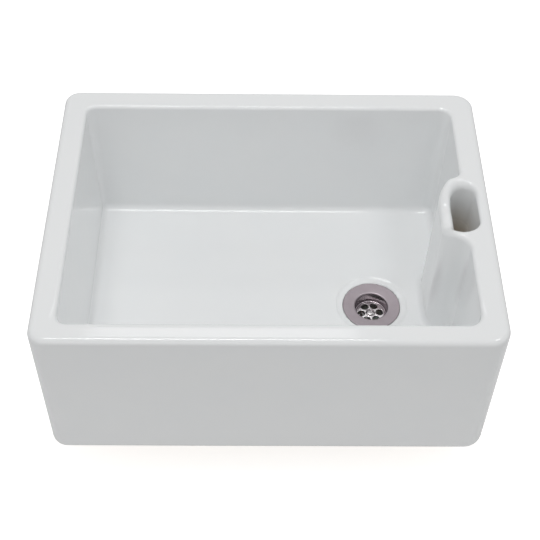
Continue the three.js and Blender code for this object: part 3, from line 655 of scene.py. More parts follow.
flange_radius = (flange_high[0] - flange_low[0]) / 2
flange_top = flange_high[2]
shoulder = flange_top - CUP_DEPTH
spigot = GRID_RADIUS - GRID_SEAT_WIDTH
flange = turned_ring("pressed_flange", [
    (flange_radius, flange_top, FLANGE_EDGE),
    (CUP_RADIUS, flange_top - FLANGE_DISH, FLANGE_BEND),
    (CUP_RADIUS, shoulder, CUP_INNER_BEND),
    (spigot, shoulder, SPIGOT_INNER_BEND),
    (spigot, flange_low[2], SPIGOT_EDGE),
    (spigot + SHEET, flange_low[2], SPIGOT_EDGE),
    (spigot + SHEET, shoulder - SHEET, SPIGOT_OUTER_BEND),
    (CUP_RADIUS + SHEET, shoulder - SHEET, CUP_OUTER_BEND),
    (CUP_RADIUS + SHEET, flange_top - FLANGE_DISH - SHEET, FLANGE_BEND - SHEET),
    (flange_radius, flange_top - SHEET, FLANGE_EDGE),
])
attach(flange, "root")
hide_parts("waste_flange")

# %% [markdown]
# ## The rubber seals
# Two rings of black rubber keep the joint tight. A thin one lies between the flange and its
# seat in the clay. A thicker one is pressed against the sink's underside, and has three
# ridges on top that bite into the rough clay. Each could be a torus or a tube with a bevel,
# but the ridges have an outline of their own, so both are turned rings like the flange.

# %% The seal under the flange
SEAL_EDGE = 0.35
SEAL_INNER = 30.3
GAP = 0.3

flange_seal_low, flange_seal_high = piece_box("flange_seal")
seal_radius = (flange_seal_high[0] - flange_seal_low[0]) / 2
dish_there = FLANGE_DISH * (flange_radius - SEAL_INNER) / (flange_radius - CUP_RADIUS)
inner_top = flange_top - SHEET - dish_there - GAP
flange_seal = turned_ring("soft_flange_seal", [
    (SEAL_INNER, flange_seal_low[2], SEAL_EDGE),
    (seal_radius, flange_seal_low[2], SEAL_EDGE),
    (seal_radius, flange_seal_high[2], SEAL_EDGE),
    (SEAL_INNER, inner_top, SEAL_EDGE),
])
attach(flange_seal, "root")
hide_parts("flange_seal")

# %% The ridged seal under the sink
BODY_SEAL_INNER = 33.0
RIDGE_HEIGHT, RIDGE_WIDTH, RIDGE_COUNT = 0.35, 2.4, 3
RIDGE_FOOT, RIDGE_TOP, RIDGE_ROUNDING = 0.5, 0.3, 0.15

body_seal_low, body_seal_high = piece_box("body_seal")
body_seal_radius = (body_seal_high[0] - body_seal_low[0]) / 2
ridge_span = (body_seal_radius - BODY_SEAL_INNER) / RIDGE_COUNT
ridges = []
for k in range(RIDGE_COUNT):
    middle = body_seal_radius - ridge_span * (k + 0.5)
    for share, height in ((RIDGE_FOOT, -RIDGE_HEIGHT), (RIDGE_TOP, 0),
                          (-RIDGE_TOP, 0), (-RIDGE_FOOT, -RIDGE_HEIGHT)):
        ridges.append((middle + share * RIDGE_WIDTH, body_seal_high[2] + height, RIDGE_ROUNDING))
body_seal = turned_ring("ridged_body_seal", [
    (BODY_SEAL_INNER, body_seal_low[2], SEAL_EDGE),
    (body_seal_radius, body_seal_low[2], SEAL_EDGE),
    (body_seal_radius, body_seal_high[2] - RIDGE_HEIGHT, SEAL_EDGE),
    *ridges,
    (BODY_SEAL_INNER, body_seal_high[2] - RIDGE_HEIGHT, SEAL_EDGE),
])
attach(body_seal, "root")
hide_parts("body_seal")

# %% [markdown]
# ## The strainer
# The strainer is a thin domed plate with six punched holes, whose edges the press has rolled
# over, and a dimple for the screw's head. Holes could be cut with instanced cutters and a
# boolean, but its edges would stay sharp, and the bright line round every hole is what makes
# the plate read as pressed and polished. So this plate is a distance too, on a finer grid.

# %% The strainer
GRID_THICKNESS, GRID_DOME, GRID_EDGE = 1.2, 0.8, 0.55
DIMPLE_DEPTH, DIMPLE_RADIUS, DIMPLE_FLAT, DIMPLE_BLEND = 3.5, 7.1, 5.9, 0.5
HOLE_COUNT, HOLE_RADIUS, HOLE_CIRCLE, HOLE_TURN = 6, 5.6, 13.75, math.radians(5)
HOLE_ROLL, SCREW_HOLE, SCREW_HOLE_EDGE = 0.5, 2.8, 0.2

grid_height = shoulder + GAP


def strainer_distance(x, y, z):
    """A sheet that follows the dome and the dimple, cut round and punched."""
    away = np.hypot(x - outlet_x, y - outlet_y)
    share = np.clip((GRID_RADIUS - away) / (GRID_RADIUS - DIMPLE_RADIUS), 0, 1)
    dome = GRID_DOME * np.sin(share * math.pi / 2)
    dimple_width = DIMPLE_RADIUS - DIMPLE_FLAT + 2 * DIMPLE_BLEND
    sink = np.clip((DIMPLE_RADIUS + DIMPLE_BLEND - away) / dimple_width, 0, 1)
    steepness = smooth_step_slope(sink) * DIMPLE_DEPTH / dimple_width
    middle = grid_height + GRID_THICKNESS / 2 + dome - DIMPLE_DEPTH * smooth_step(sink)
    sheet = np.abs(z - middle) / np.hypot(1, steepness) - GRID_THICKNESS / 2
    plate = rounded_max(sheet, away - GRID_RADIUS, GRID_EDGE)
    for k in range(HOLE_COUNT):
        angle = HOLE_TURN + k * 2 * math.pi / HOLE_COUNT
        hole_x = outlet_x + HOLE_CIRCLE * math.cos(angle)
        hole_y = outlet_y + HOLE_CIRCLE * math.sin(angle)
        plate = rounded_max(plate, HOLE_RADIUS - np.hypot(x - hole_x, y - hole_y), HOLE_ROLL)
    return rounded_max(plate, SCREW_HOLE - away, SCREW_HOLE_EDGE)


# %% The strainer's mesh
STRAINER_STEP = 0.4


def lines_round(low, high, step):
    """Grid lines a little past a box on every side."""
    return [grid_lines([(a - step, step)], b + step) for a, b in zip(low, high)]


strainer_low, strainer_high = piece_box("strainer_grid")
strainer_lines = lines_round(strainer_low, strainer_high, STRAINER_STEP)
strainer = solid_mesh("strainer_plate", strainer_distance, strainer_lines)
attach(strainer, "root")
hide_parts("strainer_grid")

# %% [markdown]
# ## The screw and its washer
# One slotted screw pulls the flange, the clay and the body together, and a plain washer
# spreads its push. The washer stays under the head, so both rise when the screw is undone.
# The washer is turned like the flange. The slot is what a person looks at here, and a boolean
# would leave it knife-sharp, so the screw's blank is a distance, and the slot's edges have the
# small rounding that a cutter and a polishing wheel leave. Its threaded length has only the
# core's radius: the thread itself follows further down.

# %% The washer
WASHER_EDGE, WASHER_TOP_EDGE = 0.1, 0.4

washer_low, washer_high = piece_box("screw_washer")
washer_radius = (washer_high[0] - washer_low[0]) / 2
washer = turned_ring("captive_washer", [
    (SCREW_HOLE, washer_low[2], WASHER_EDGE),
    (washer_radius, washer_low[2], WASHER_EDGE),
    (washer_radius, washer_high[2], WASHER_TOP_EDGE),
    (SCREW_HOLE, washer_high[2], WASHER_EDGE),
])
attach(washer, "washer")
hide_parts("screw_washer")

# %% The screw's blank
# A metric thread is cut 0.6134 of its pitch deep.
METRIC_DEPTH = 0.6134
SCREW_RADIUS, SCREW_PITCH, SCREW_THREAD_LENGTH = 2.5, 0.8, 14.0
SCREW_ROOT = SCREW_RADIUS - METRIC_DEPTH * SCREW_PITCH
HEAD_RADIUS, HEAD_HEIGHT, HEAD_CROWN = 4.25, 2.8, 0.5
SLOT_WIDTH, SLOT_DEPTH, SLOT_EDGE = 1.2, 1.6, 0.15
POINT_EDGE, SHANK_EDGE, HEAD_EDGE, SEAT_EDGE = 0.4, 0.3, 0.45, 0.2
NECK_IN_HEAD = 0.5

screw_low, screw_high = piece_box("centre_screw")
head_seat = screw_high[2] - HEAD_HEIGHT
thread_top = screw_low[2] + SCREW_THREAD_LENGTH


def screw_distance(x, y, z):
    """The core, the plain shank above it and the slotted head."""
    away = np.hypot(x - outlet_x, y - outlet_y)
    core = rounded_max(away - SCREW_ROOT, screw_low[2] - z, POINT_EDGE)
    shank = rounded_max(away - SCREW_RADIUS, thread_top - z, SHANK_EDGE)
    crown = screw_high[2] - HEAD_CROWN * (away / HEAD_RADIUS) ** 2
    head = rounded_max(away - HEAD_RADIUS, z - crown, HEAD_EDGE)
    head = rounded_max(head, head_seat - z, SEAT_EDGE)
    slot = np.maximum(np.abs(y - outlet_y) - SLOT_WIDTH / 2, screw_high[2] - SLOT_DEPTH - z)
    head = rounded_max(head, -slot, SLOT_EDGE)
    bars = np.maximum(np.minimum(core, shank), z - head_seat - NECK_IN_HEAD)
    return rounded_min(bars, head, SEAT_EDGE)


print("screw, mm:", round(screw_high[2] - screw_low[2], 1), "long with a core of",
      round(2 * SCREW_ROOT, 2))

# %% The screw's mesh
SCREW_STEP, SHANK_STEP, HEAD_STEP = 0.3, 1.0, 0.25
PAST_POINT, PAST_HEAD = 0.5, 0.4
POINT_REACH, SHOULDER_REACH, SEAT_REACH = 1.5, 1, 0.5

screw_lines = lines_round(screw_low, screw_high, SCREW_STEP)
screw_lines[2] = grid_lines([
    (screw_low[2] - PAST_POINT, SCREW_STEP),
    (screw_low[2] + POINT_REACH, SHANK_STEP),
    (thread_top - SHOULDER_REACH, SCREW_STEP),
    (thread_top + SHOULDER_REACH, SHANK_STEP),
    (head_seat - SEAT_REACH, HEAD_STEP),
], screw_high[2] + PAST_HEAD)
screw = solid_mesh("slotted_screw", screw_distance, screw_lines)
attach(screw, "screw")
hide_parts("centre_screw")

# %% [markdown]
# ## The plastic body and its brass nut
# Below the floor a moulded body collects the water from the bowl and from the overflow. It
# is one moulding: a rim that presses the seal against the clay, a funnel, an outlet pipe,
# and a spider of three ribs whose boss holds the nut. It could be joined from cylinders and
# cones with booleans, but moulded corners are always rounded, inside and out, so the
# distance method suits it too.

# %% The body's heights
BODY_RIM_THICKNESS, FUNNEL_HEIGHT = 4.0, 20.0
BOSS_CAP = 2.0

body_low, body_high = piece_box("waste_body")
nut_low, nut_high = piece_box("insert_nut")
body_rim_radius = (body_high[0] - body_low[0]) / 2
funnel_top = body_high[2] - BODY_RIM_THICKNESS
funnel_end = funnel_top - FUNNEL_HEIGHT
boss_top = nut_high[2] + BOSS_CAP + GAP
print("the body hangs from", round(body_high[2], 1), "to", round(body_low[2], 1), "mm")

# %% Cones and hexagons
def cone_side(away, z, top_radius, top, end_radius, end):
    """The distance to the side of a cone through two radii at two heights."""
    spread = (top_radius - end_radius) / (top - end)
    return (away - end_radius - spread * (z - end)) / math.hypot(1, spread)


def hexagon(x, y, across_flats):
    """The distance to a hexagon in plan round the waste's axis, with flats at left and right."""
    sides = []
    for k in range(3):
        angle = k * math.pi / 3
        across = (x - outlet_x) * math.cos(angle) + (y - outlet_y) * math.sin(angle)
        sides.append(np.abs(across))
    return np.maximum.reduce(sides) - across_flats / 2


# %% The body
# A pipe thread of this kind is cut 0.6403 of its pitch deep.
PIPE_DEPTH = 0.6403
OUTLET_THREAD_RADIUS, OUTLET_PITCH, OUTLET_THREAD_LENGTH = 23.9, 2.309, 26.0
OUTLET_THREAD_ROOT = OUTLET_THREAD_RADIUS - PIPE_DEPTH * OUTLET_PITCH
BODY_MOUTH_RADIUS, BODY_WALL, OUTLET_BORE_RADIUS = 33.0, 3.0, 19.0
FUNNEL_BEND, RIM_ROOT, BODY_EDGE = 4, 2, 0.8
BOSS_RADIUS, BOSS_EDGE = 7.5, 0.6
RIB_COUNT, RIB_THICKNESS, RIB_HEIGHT, RIB_ROOT = 3, 2.6, 9.0, 1.5
NUT_ACROSS_FLATS, BORE_EDGE = 8.0, 0.3


def spider_distance(x, y, z, away):
    """The boss and its three ribs, which run outwards as far as anything does."""
    spider = np.maximum(away - BOSS_RADIUS, nut_low[2] - GAP - z)
    for k in range(RIB_COUNT):
        angle = k * 2 * math.pi / RIB_COUNT
        along = (x - outlet_x) * math.cos(angle) + (y - outlet_y) * math.sin(angle)
        across = (y - outlet_y) * math.cos(angle) - (x - outlet_x) * math.sin(angle)
        rib = np.maximum(np.abs(across) - RIB_THICKNESS / 2, -along)
        spider = rounded_min(spider, np.maximum(rib, boss_top - RIB_HEIGHT - z), RIB_ROOT)
    return rounded_max(spider, z - boss_top, BOSS_EDGE)


def body_distance(x, y, z):
    """The rim, funnel and pipe, hollowed, with the spider inside them."""
    away = np.hypot(x - outlet_x, y - outlet_y)
    funnel = cone_side(away, z, BODY_MOUTH_RADIUS + BODY_WALL, funnel_top,
                       OUTLET_THREAD_ROOT, funnel_end)
    rim = np.maximum(away - body_rim_radius, funnel_top - z)
    outer = rounded_min(away - OUTLET_THREAD_ROOT, funnel, FUNNEL_BEND)
    outer = rounded_min(outer, rim, RIM_ROOT)
    outer = rounded_max(outer, z - body_high[2], BODY_EDGE)
    outer = rounded_max(outer, body_low[2] - z, BODY_EDGE)
    hollow = cone_side(away, z, BODY_MOUTH_RADIUS, body_high[2], OUTLET_BORE_RADIUS, funnel_end)
    hollow = rounded_min(away - OUTLET_BORE_RADIUS, hollow, FUNNEL_BEND)
    shell = rounded_max(outer, -hollow, BODY_EDGE)
    body = rounded_min(shell, np.maximum(spider_distance(x, y, z, away), outer), RIB_ROOT)
    nut_room = hexagon(x, y, NUT_ACROSS_FLATS + 2 * GAP)
    body = rounded_max(body, -np.maximum(nut_room, z - boss_top + BOSS_CAP), BORE_EDGE)
    return rounded_max(body, SCREW_HOLE - away, BORE_EDGE)


# %% The body's mesh
BODY_STEP = 1.15

body = solid_mesh("moulded_body", body_distance, lines_round(body_low, body_high, BODY_STEP), 1)
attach(body, "root")
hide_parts("waste_body")

# %% The nut
NUT_STEP, NUT_EDGE, NUT_CHAMFER = 0.35, 0.2, 0.3


def nut_distance(x, y, z):
    """A hexagon with its corners turned off at both ends, and a bore for the screw."""
    away = np.hypot(x - outlet_x, y - outlet_y)
    chamfer = (away + np.abs(z - (nut_low[2] + nut_high[2]) / 2)) / math.sqrt(2)
    corner = (NUT_ACROSS_FLATS / 2 + (nut_high[2] - nut_low[2]) / 2 + NUT_CHAMFER) / math.sqrt(2)
    ends = np.maximum(nut_low[2] - z, z - nut_high[2])
    nut = rounded_max(hexagon(x, y, NUT_ACROSS_FLATS), ends, NUT_EDGE)
    return rounded_max(np.maximum(nut, chamfer - corner), SCREW_HOLE - away, BORE_EDGE)


nut = solid_mesh("hexagon_nut", nut_distance, lines_round(nut_low, nut_high, NUT_STEP))
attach(nut, "root")
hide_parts("insert_nut")

# %% [markdown]
# ## Finishes
# Each finish starts from what the real material is. Colours are written as sRGB hex
# values, as a colour picker shows them, and one function turns them into the linear
# values that Blender calculates with. Each pattern gets its scale from a real size: a noise
# of scale 100 has lumps of about a hundredth of a metre, so 1 / (10 * MM) gives 10 mm. All of
# them read Object coordinates, so they stay on a piece when it moves.

# %% Colour and node helpers
def linear(hex_colour):
    """An sRGB hex colour as linear red, green, blue and alpha."""
    parts = [int(hex_colour[i:i + 2], 16) / 255 for i in (1, 3, 5)]
    return [c / 12.92 if c <= 0.04045 else ((c + 0.055) / 1.055) ** 2.4 for c in parts] + [1]


def add_node(tree, kind, inputs=None, **settings):
    """Adds a node, sets it up, and fills its inputs with values or links."""
    node = tree.nodes.new(kind)
    for name, value in settings.items():
        setattr(node, name, value)
    for key, value in (inputs or {}).items():
        if isinstance(value, bpy.types.NodeSocket):
            tree.links.new(value, node.inputs[key])
        else:
            node.inputs[key].default_value = value
    return node


def new_material(name):
    """A material with its node tree and its Principled shader."""
    material = bpy.data.materials.new(name)
    material.use_nodes = True
    tree = material.node_tree
    return material, tree, tree.nodes["Principled BSDF"]


def give(piece, material):
    """Puts a finish on a piece in place of any other."""
    piece.data.materials.clear()
    piece.data.materials.append(material)
    print(piece.name, "is", material.name)


print("a middle grey, #808080, is", round(linear("#808080")[0], 3), "in linear light")

# %% Distance from the waste's axis
def from_waste_axis(tree, place):
    """How far a point lies from the waste's upright axis, as an output of the tree."""
    level = add_node(tree, "ShaderNodeVectorMath", {0: place, 1: (1, 1, 0)},
                     operation="MULTIPLY")
    away = add_node(tree, "ShaderNodeVectorMath", {
        0: level.outputs[0], 1: (outlet_x * MM, outlet_y * MM, 0),
    }, operation="DISTANCE")
    return away.outputs["Value"]


# %% [markdown]
# ### Bare fireclay
# The sink stands on its foot in the kiln, and glaze would weld it to the shelf. So the foot is
# wiped clean, and so is the hole, where the waste needs a flat seat. Little glaze gets down
# into the shaft either, and its depth shows buff clay. A painted mask would do this, but the
# bare places are simple shapes, so a few soft edges multiplied together say where they are.

# %% Where the clay is bare
FOOT_GLAZED_TO, FOOT_BARE_FROM = 1.6, 0.6
HOLE_GLAZED_TO, HOLE_BARE_FROM = 1.0, 3.0
SHAFT_GLAZED_TO, SHAFT_BARE_FROM = 225.0, 90.0
SHAFT_MARGIN, EDGE_FADE = 3.0, 1.0


def bare_clay(tree, place):
    """1 where the clay was left without glaze, 0 where it has it, and soft between. Each
    region is where all of its edges are full: (coordinate, none at, full at), in mm."""
    along_sink, across_sink, height = add_node(tree, "ShaderNodeSeparateXYZ", {0: place}).outputs
    off_middle = add_node(tree, "ShaderNodeMath", {0: across_sink, 1: overflow_y * MM},
                          operation="SUBTRACT")
    from_middle = add_node(tree, "ShaderNodeMath", {0: off_middle.outputs[0]},
                           operation="ABSOLUTE").outputs[0]
    away = from_waste_axis(tree, place)
    seat = bowl_floor - RECESS_DEPTH
    outer = SHAFT_MARGIN + EDGE_FADE
    regions = (
        ((height, FOOT_GLAZED_TO, FOOT_BARE_FROM),),
        ((away, SPOT_FACE_RADIUS + EDGE_FADE, SPOT_FACE_RADIUS),
         (height, seat - HOLE_GLAZED_TO, seat - HOLE_BARE_FROM)),
        ((along_sink, pocket_left - SHAFT_MARGIN, pocket_left - SHAFT_MARGIN + EDGE_FADE),
         (along_sink, pocket_right + outer, pocket_right + SHAFT_MARGIN),
         (from_middle, POCKET_LENGTH / 2 + outer, POCKET_LENGTH / 2 + SHAFT_MARGIN),
         (height, SHAFT_GLAZED_TO, SHAFT_BARE_FROM)),
    )
    bare = 0.0
    for edges in regions:
        region = 1.0
        for value, none_at, full_at in edges:
            edge = add_node(tree, "ShaderNodeMapRange", {
                "Value": value, "From Min": none_at * MM, "From Max": full_at * MM,
            }, interpolation_type="SMOOTHSTEP")
            region = add_node(tree, "ShaderNodeMath", {0: region, 1: edge.outputs[0]},
                              operation="MULTIPLY").outputs[0]
        bare = add_node(tree, "ShaderNodeMath", {0: bare, 1: region},
                        operation="MAXIMUM").outputs[0]
    return bare


# %% [markdown]
# ### White glaze
# A glaze is a skin of glass over a white slip. Light goes through the glass, is scattered by
# the white below and comes back evenly, and a part of it is mirrored by the skin. Blender's
# Principled shader has just these two layers: a base colour for the white, and a smooth
# reflection whose strength follows from the index of refraction, 1.5 for glass. No sink is
# perfectly even, so a slow noise shifts the white a little where the glaze pooled, and
# a faint bump gives the skin the slight waviness that makes long highlights swim.

# %% Glazed fireclay
GLAZE_ROUGHNESS, BARE_ROUGHNESS = 0.09, 0.85
GLAZE_IOR = 1.5
POOL_SIZE, WAVE_SIZE, WAVE_HEIGHT = 60.0, 14.0, 0.15
GRIT_SIZE, GRIT_HEIGHT = 1.6, 0.3


def glazed_fireclay():
    """White glaze over fired clay. To the eye: a cool white body under a clear, wet-looking
    skin that is very slightly uneven, as it ran and pooled in the kiln. The foot, the hole
    and the depth of the overflow stay bare, and show the buff clay."""
    material, tree, shader = new_material("white glaze, fired on fireclay")
    place = add_node(tree, "ShaderNodeTexCoord").outputs["Object"]
    pooling = add_node(tree, "ShaderNodeTexNoise", {
        "Vector": place, "Scale": 1 / (POOL_SIZE * MM), "Detail": 2.0, "Roughness": 0.5,
    })
    white = add_node(tree, "ShaderNodeMix", {
        "Factor": pooling.outputs["Fac"], 6: linear("#F7F9FA"), 7: linear("#FAFBFB"),
    }, data_type="RGBA").outputs[2]
    grit = add_node(tree, "ShaderNodeTexNoise", {
        "Vector": place, "Scale": 1 / (GRIT_SIZE * MM), "Detail": 3.0,
    }).outputs["Fac"]
    buff = add_node(tree, "ShaderNodeMix", {
        "Factor": grit, 6: linear("#D6BE9C"), 7: linear("#E8D8BF"),
    }, data_type="RGBA").outputs[2]
    bare = bare_clay(tree, place)
    colour = add_node(tree, "ShaderNodeMix", {"Factor": bare, 6: white, 7: buff},
                      data_type="RGBA")
    tree.links.new(colour.outputs[2], shader.inputs["Base Color"])
    roughness = add_node(tree, "ShaderNodeMapRange", {
        "Value": bare, "To Min": GLAZE_ROUGHNESS, "To Max": BARE_ROUGHNESS,
    })
    tree.links.new(roughness.outputs[0], shader.inputs["Roughness"])
    waves = add_node(tree, "ShaderNodeTexNoise", {
        "Vector": place, "Scale": 1 / (WAVE_SIZE * MM), "Detail": 1.0, "Roughness": 0.4,
    })
    skin = add_node(tree, "ShaderNodeBump", {
        "Height": waves.outputs["Fac"], "Strength": 0.25, "Distance": WAVE_HEIGHT * MM,
    })
    bare_grit = add_node(tree, "ShaderNodeMath", {0: grit, 1: bare}, operation="MULTIPLY")
    bump = add_node(tree, "ShaderNodeBump", {
        "Height": bare_grit.outputs[0], "Strength": 0.6, "Distance": GRIT_HEIGHT * MM,
        "Normal": skin.outputs["Normal"],
    })
    tree.links.new(bump.outputs["Normal"], shader.inputs["Normal"])
    shader.inputs["IOR"].default_value = GLAZE_IOR
    return material


give(casting, glazed_fireclay())

# %% [markdown]
# ### Stainless steel
# The flange and the strainer are pressed from stainless sheet and then held to a polishing
# wheel while they spin, which leaves fine rings round the axis. An Anisotropic setting could
# stretch the highlights, but the rings are meant to be seen, so a noise that depends on the
# distance from the axis alone makes them. Real rings are a tenth of this spacing and wouldn't
# show in the picture, so they are drawn coarser. The flange's top is worn satin, and the
# cup below it, which nothing rubs, is brighter.

# %% Stainless steel
CLOUD_SIZE, RING_HEIGHT = 9.0, 0.02
RINGS_IN_ROUGHNESS = 0.1
CUP_BELOW, TOP_ABOVE = 4, 1.5


def polished_steel(name, colours, top_roughness, cup_roughness, ring_spacing):
    """Stainless steel, polished on a spinning wheel. To the eye: a slightly warm grey with
    faint rings, and sharp dark and bright reflections where it bends."""
    material, tree, shader = new_material(name)
    place = add_node(tree, "ShaderNodeTexCoord").outputs["Object"]
    centred = add_node(tree, "ShaderNodeMapping", {
        "Vector": place, "Location": (-outlet_x * MM, -outlet_y * MM, 0),
    }).outputs[0]
    rings = add_node(tree, "ShaderNodeTexNoise", {
        "W": from_waste_axis(tree, place), "Scale": 1 / (ring_spacing * MM), "Detail": 2.0,
    }, noise_dimensions="1D").outputs["Fac"]
    clouds = add_node(tree, "ShaderNodeTexNoise", {
        "Vector": centred, "Scale": 1 / (CLOUD_SIZE * MM), "Detail": 2.0,
    }).outputs["Fac"]
    tone = add_node(tree, "ShaderNodeMix", {
        "Factor": clouds, 6: linear(colours[0]), 7: linear(colours[1]),
    }, data_type="RGBA")
    tree.links.new(tone.outputs[2], shader.inputs["Base Color"])
    height = add_node(tree, "ShaderNodeSeparateXYZ", {0: place}).outputs[2]
    worn = add_node(tree, "ShaderNodeMapRange", {
        "Value": height, "From Min": (flange_top - CUP_BELOW) * MM,
        "From Max": (flange_top - TOP_ABOVE) * MM,
        "To Min": cup_roughness, "To Max": top_roughness,
    }).outputs[0]
    roughness = add_node(tree, "ShaderNodeMath", {0: rings, 1: RINGS_IN_ROUGHNESS, 2: worn},
                         operation="MULTIPLY_ADD")
    tree.links.new(roughness.outputs[0], shader.inputs["Roughness"])
    bump = add_node(tree, "ShaderNodeBump", {
        "Height": rings, "Strength": 0.3, "Distance": RING_HEIGHT * MM,
    })
    tree.links.new(bump.outputs["Normal"], shader.inputs["Normal"])
    shader.inputs["Metallic"].default_value = 1.0
    return material


satin_steel = polished_steel(
    "satin stainless, pressed and spun", ("#9D9499", "#A79EA3"),
    top_roughness=0.3, cup_roughness=0.16, ring_spacing=0.5,
)
punched_steel = polished_steel(
    "polished stainless, punched", ("#D2CDCF", "#DEDADB"),
    top_roughness=0.18, cup_roughness=0.18, ring_spacing=0.7,
)
turned_steel = polished_steel(
    "bright stainless, turned", ("#CFCBCC", "#DAD7D8"),
    top_roughness=0.12, cup_roughness=0.12, ring_spacing=0.3,
)
give(flange, satin_steel)
give(strainer, punched_steel)
give(washer, turned_steel)
give(screw, turned_steel)

# %% [markdown]
# ### Rubber and polypropylene
# The seals and the body are both moulded polymers: the colour goes all the way through, and
# the surface is a print of the mould. Rubber is nearly black and scatters what little it
# reflects. Polypropylene lets light in a short way, which Subsurface gives, and has a
# soft shine. The mould's texture is finer than a tenth of a millimetre on a real part, and
# is drawn coarser so that it can be seen from close by.

# %% Rubber and plastic
FLOW_SIZE = 12.0
LIGHT_ENTERS = 2


def moulded(name, colours, roughness, grain_size, grain_depth):
    """A moulded polymer. To the eye: an even colour with the mould's own fine texture."""
    material, tree, shader = new_material(name)
    place = add_node(tree, "ShaderNodeTexCoord").outputs["Object"]
    flow = add_node(tree, "ShaderNodeTexNoise", {
        "Vector": place, "Scale": 1 / (FLOW_SIZE * MM), "Detail": 1.0,
    }).outputs["Fac"]
    tone = add_node(tree, "ShaderNodeMix", {
        "Factor": flow, 6: linear(colours[0]), 7: linear(colours[1]),
    }, data_type="RGBA")
    tree.links.new(tone.outputs[2], shader.inputs["Base Color"])
    grain = add_node(tree, "ShaderNodeTexNoise", {
        "Vector": place, "Scale": 1 / (grain_size * MM), "Detail": 2.0,
    }).outputs["Fac"]
    bump = add_node(tree, "ShaderNodeBump", {
        "Height": grain, "Strength": 0.5, "Distance": grain_depth * MM,
    })
    tree.links.new(bump.outputs["Normal"], shader.inputs["Normal"])
    shader.inputs["Roughness"].default_value = roughness
    return material, shader


rubber, _ = moulded("black rubber, moulded", ("#191A1C", "#222325"),
                    roughness=0.7, grain_size=0.8, grain_depth=0.04)
plastic, plastic_shader = moulded(
    "white polypropylene, injection moulded", ("#D9DAD6", "#E2E3E0"),
    roughness=0.38, grain_size=1.1, grain_depth=0.03,
)
plastic_shader.inputs["Subsurface Weight"].default_value = 0.1
plastic_shader.inputs["Subsurface Scale"].default_value = LIGHT_ENTERS * MM
give(flange_seal, rubber)
give(body_seal, rubber)
give(body, plastic)

# %% [markdown]
# ### Brass
# The nut is cut from a hexagon bar of free-cutting brass. Metal has no colour under its
# reflection, so Metallic is 1 and the base colour tints the reflection itself. Water dulls
# brass in patches, so one noise drives both the colour and the roughness: where it is
# darker it is also less shiny.

# %% Turned brass
TARNISH_SIZE = 3.0


def turned_brass():
    """Brass from a hexagon bar. To the eye: a greenish yellow metal with duller patches."""
    material, tree, shader = new_material("brass, turned from hexagon bar")
    place = add_node(tree, "ShaderNodeTexCoord").outputs["Object"]
    dulled = add_node(tree, "ShaderNodeTexNoise", {
        "Vector": place, "Scale": 1 / (TARNISH_SIZE * MM), "Detail": 3.0,
    }).outputs["Fac"]
    tone = add_node(tree, "ShaderNodeMix", {
        "Factor": dulled, 6: linear("#C9A65C"), 7: linear("#A98544"),
    }, data_type="RGBA")
    tree.links.new(tone.outputs[2], shader.inputs["Base Color"])
    roughness = add_node(tree, "ShaderNodeMapRange", {
        "Value": dulled, "To Min": 0.18, "To Max": 0.45,
    })
    tree.links.new(roughness.outputs[0], shader.inputs["Roughness"])
    shader.inputs["Metallic"].default_value = 1.0
    return material


give(nut, turned_brass())

# %% [markdown]
# ## The threads
# A thread is one V-shaped ridge that winds round a bar. A modelled ring for each turn would
# be wrong, because rings don't climb. Geometry Nodes can do what a lathe does: a Spiral curve
# gives the path, a triangle the ridge's shape, and Curve to Mesh sweeps one along the other.
# Reverse makes the path climb anticlockwise, which is a right-handed thread, and turns the
# triangle's point outwards. The ridge gets thinner at both ends, as a real thread runs out.
# One tree makes both threads, because its sizes are inputs.

# %% A tree that winds a thread
STEPS_A_TURN = 48
RUN_OUT, THINNEST = 0.04, 0.15
RIDGE_OF_PITCH = 0.55


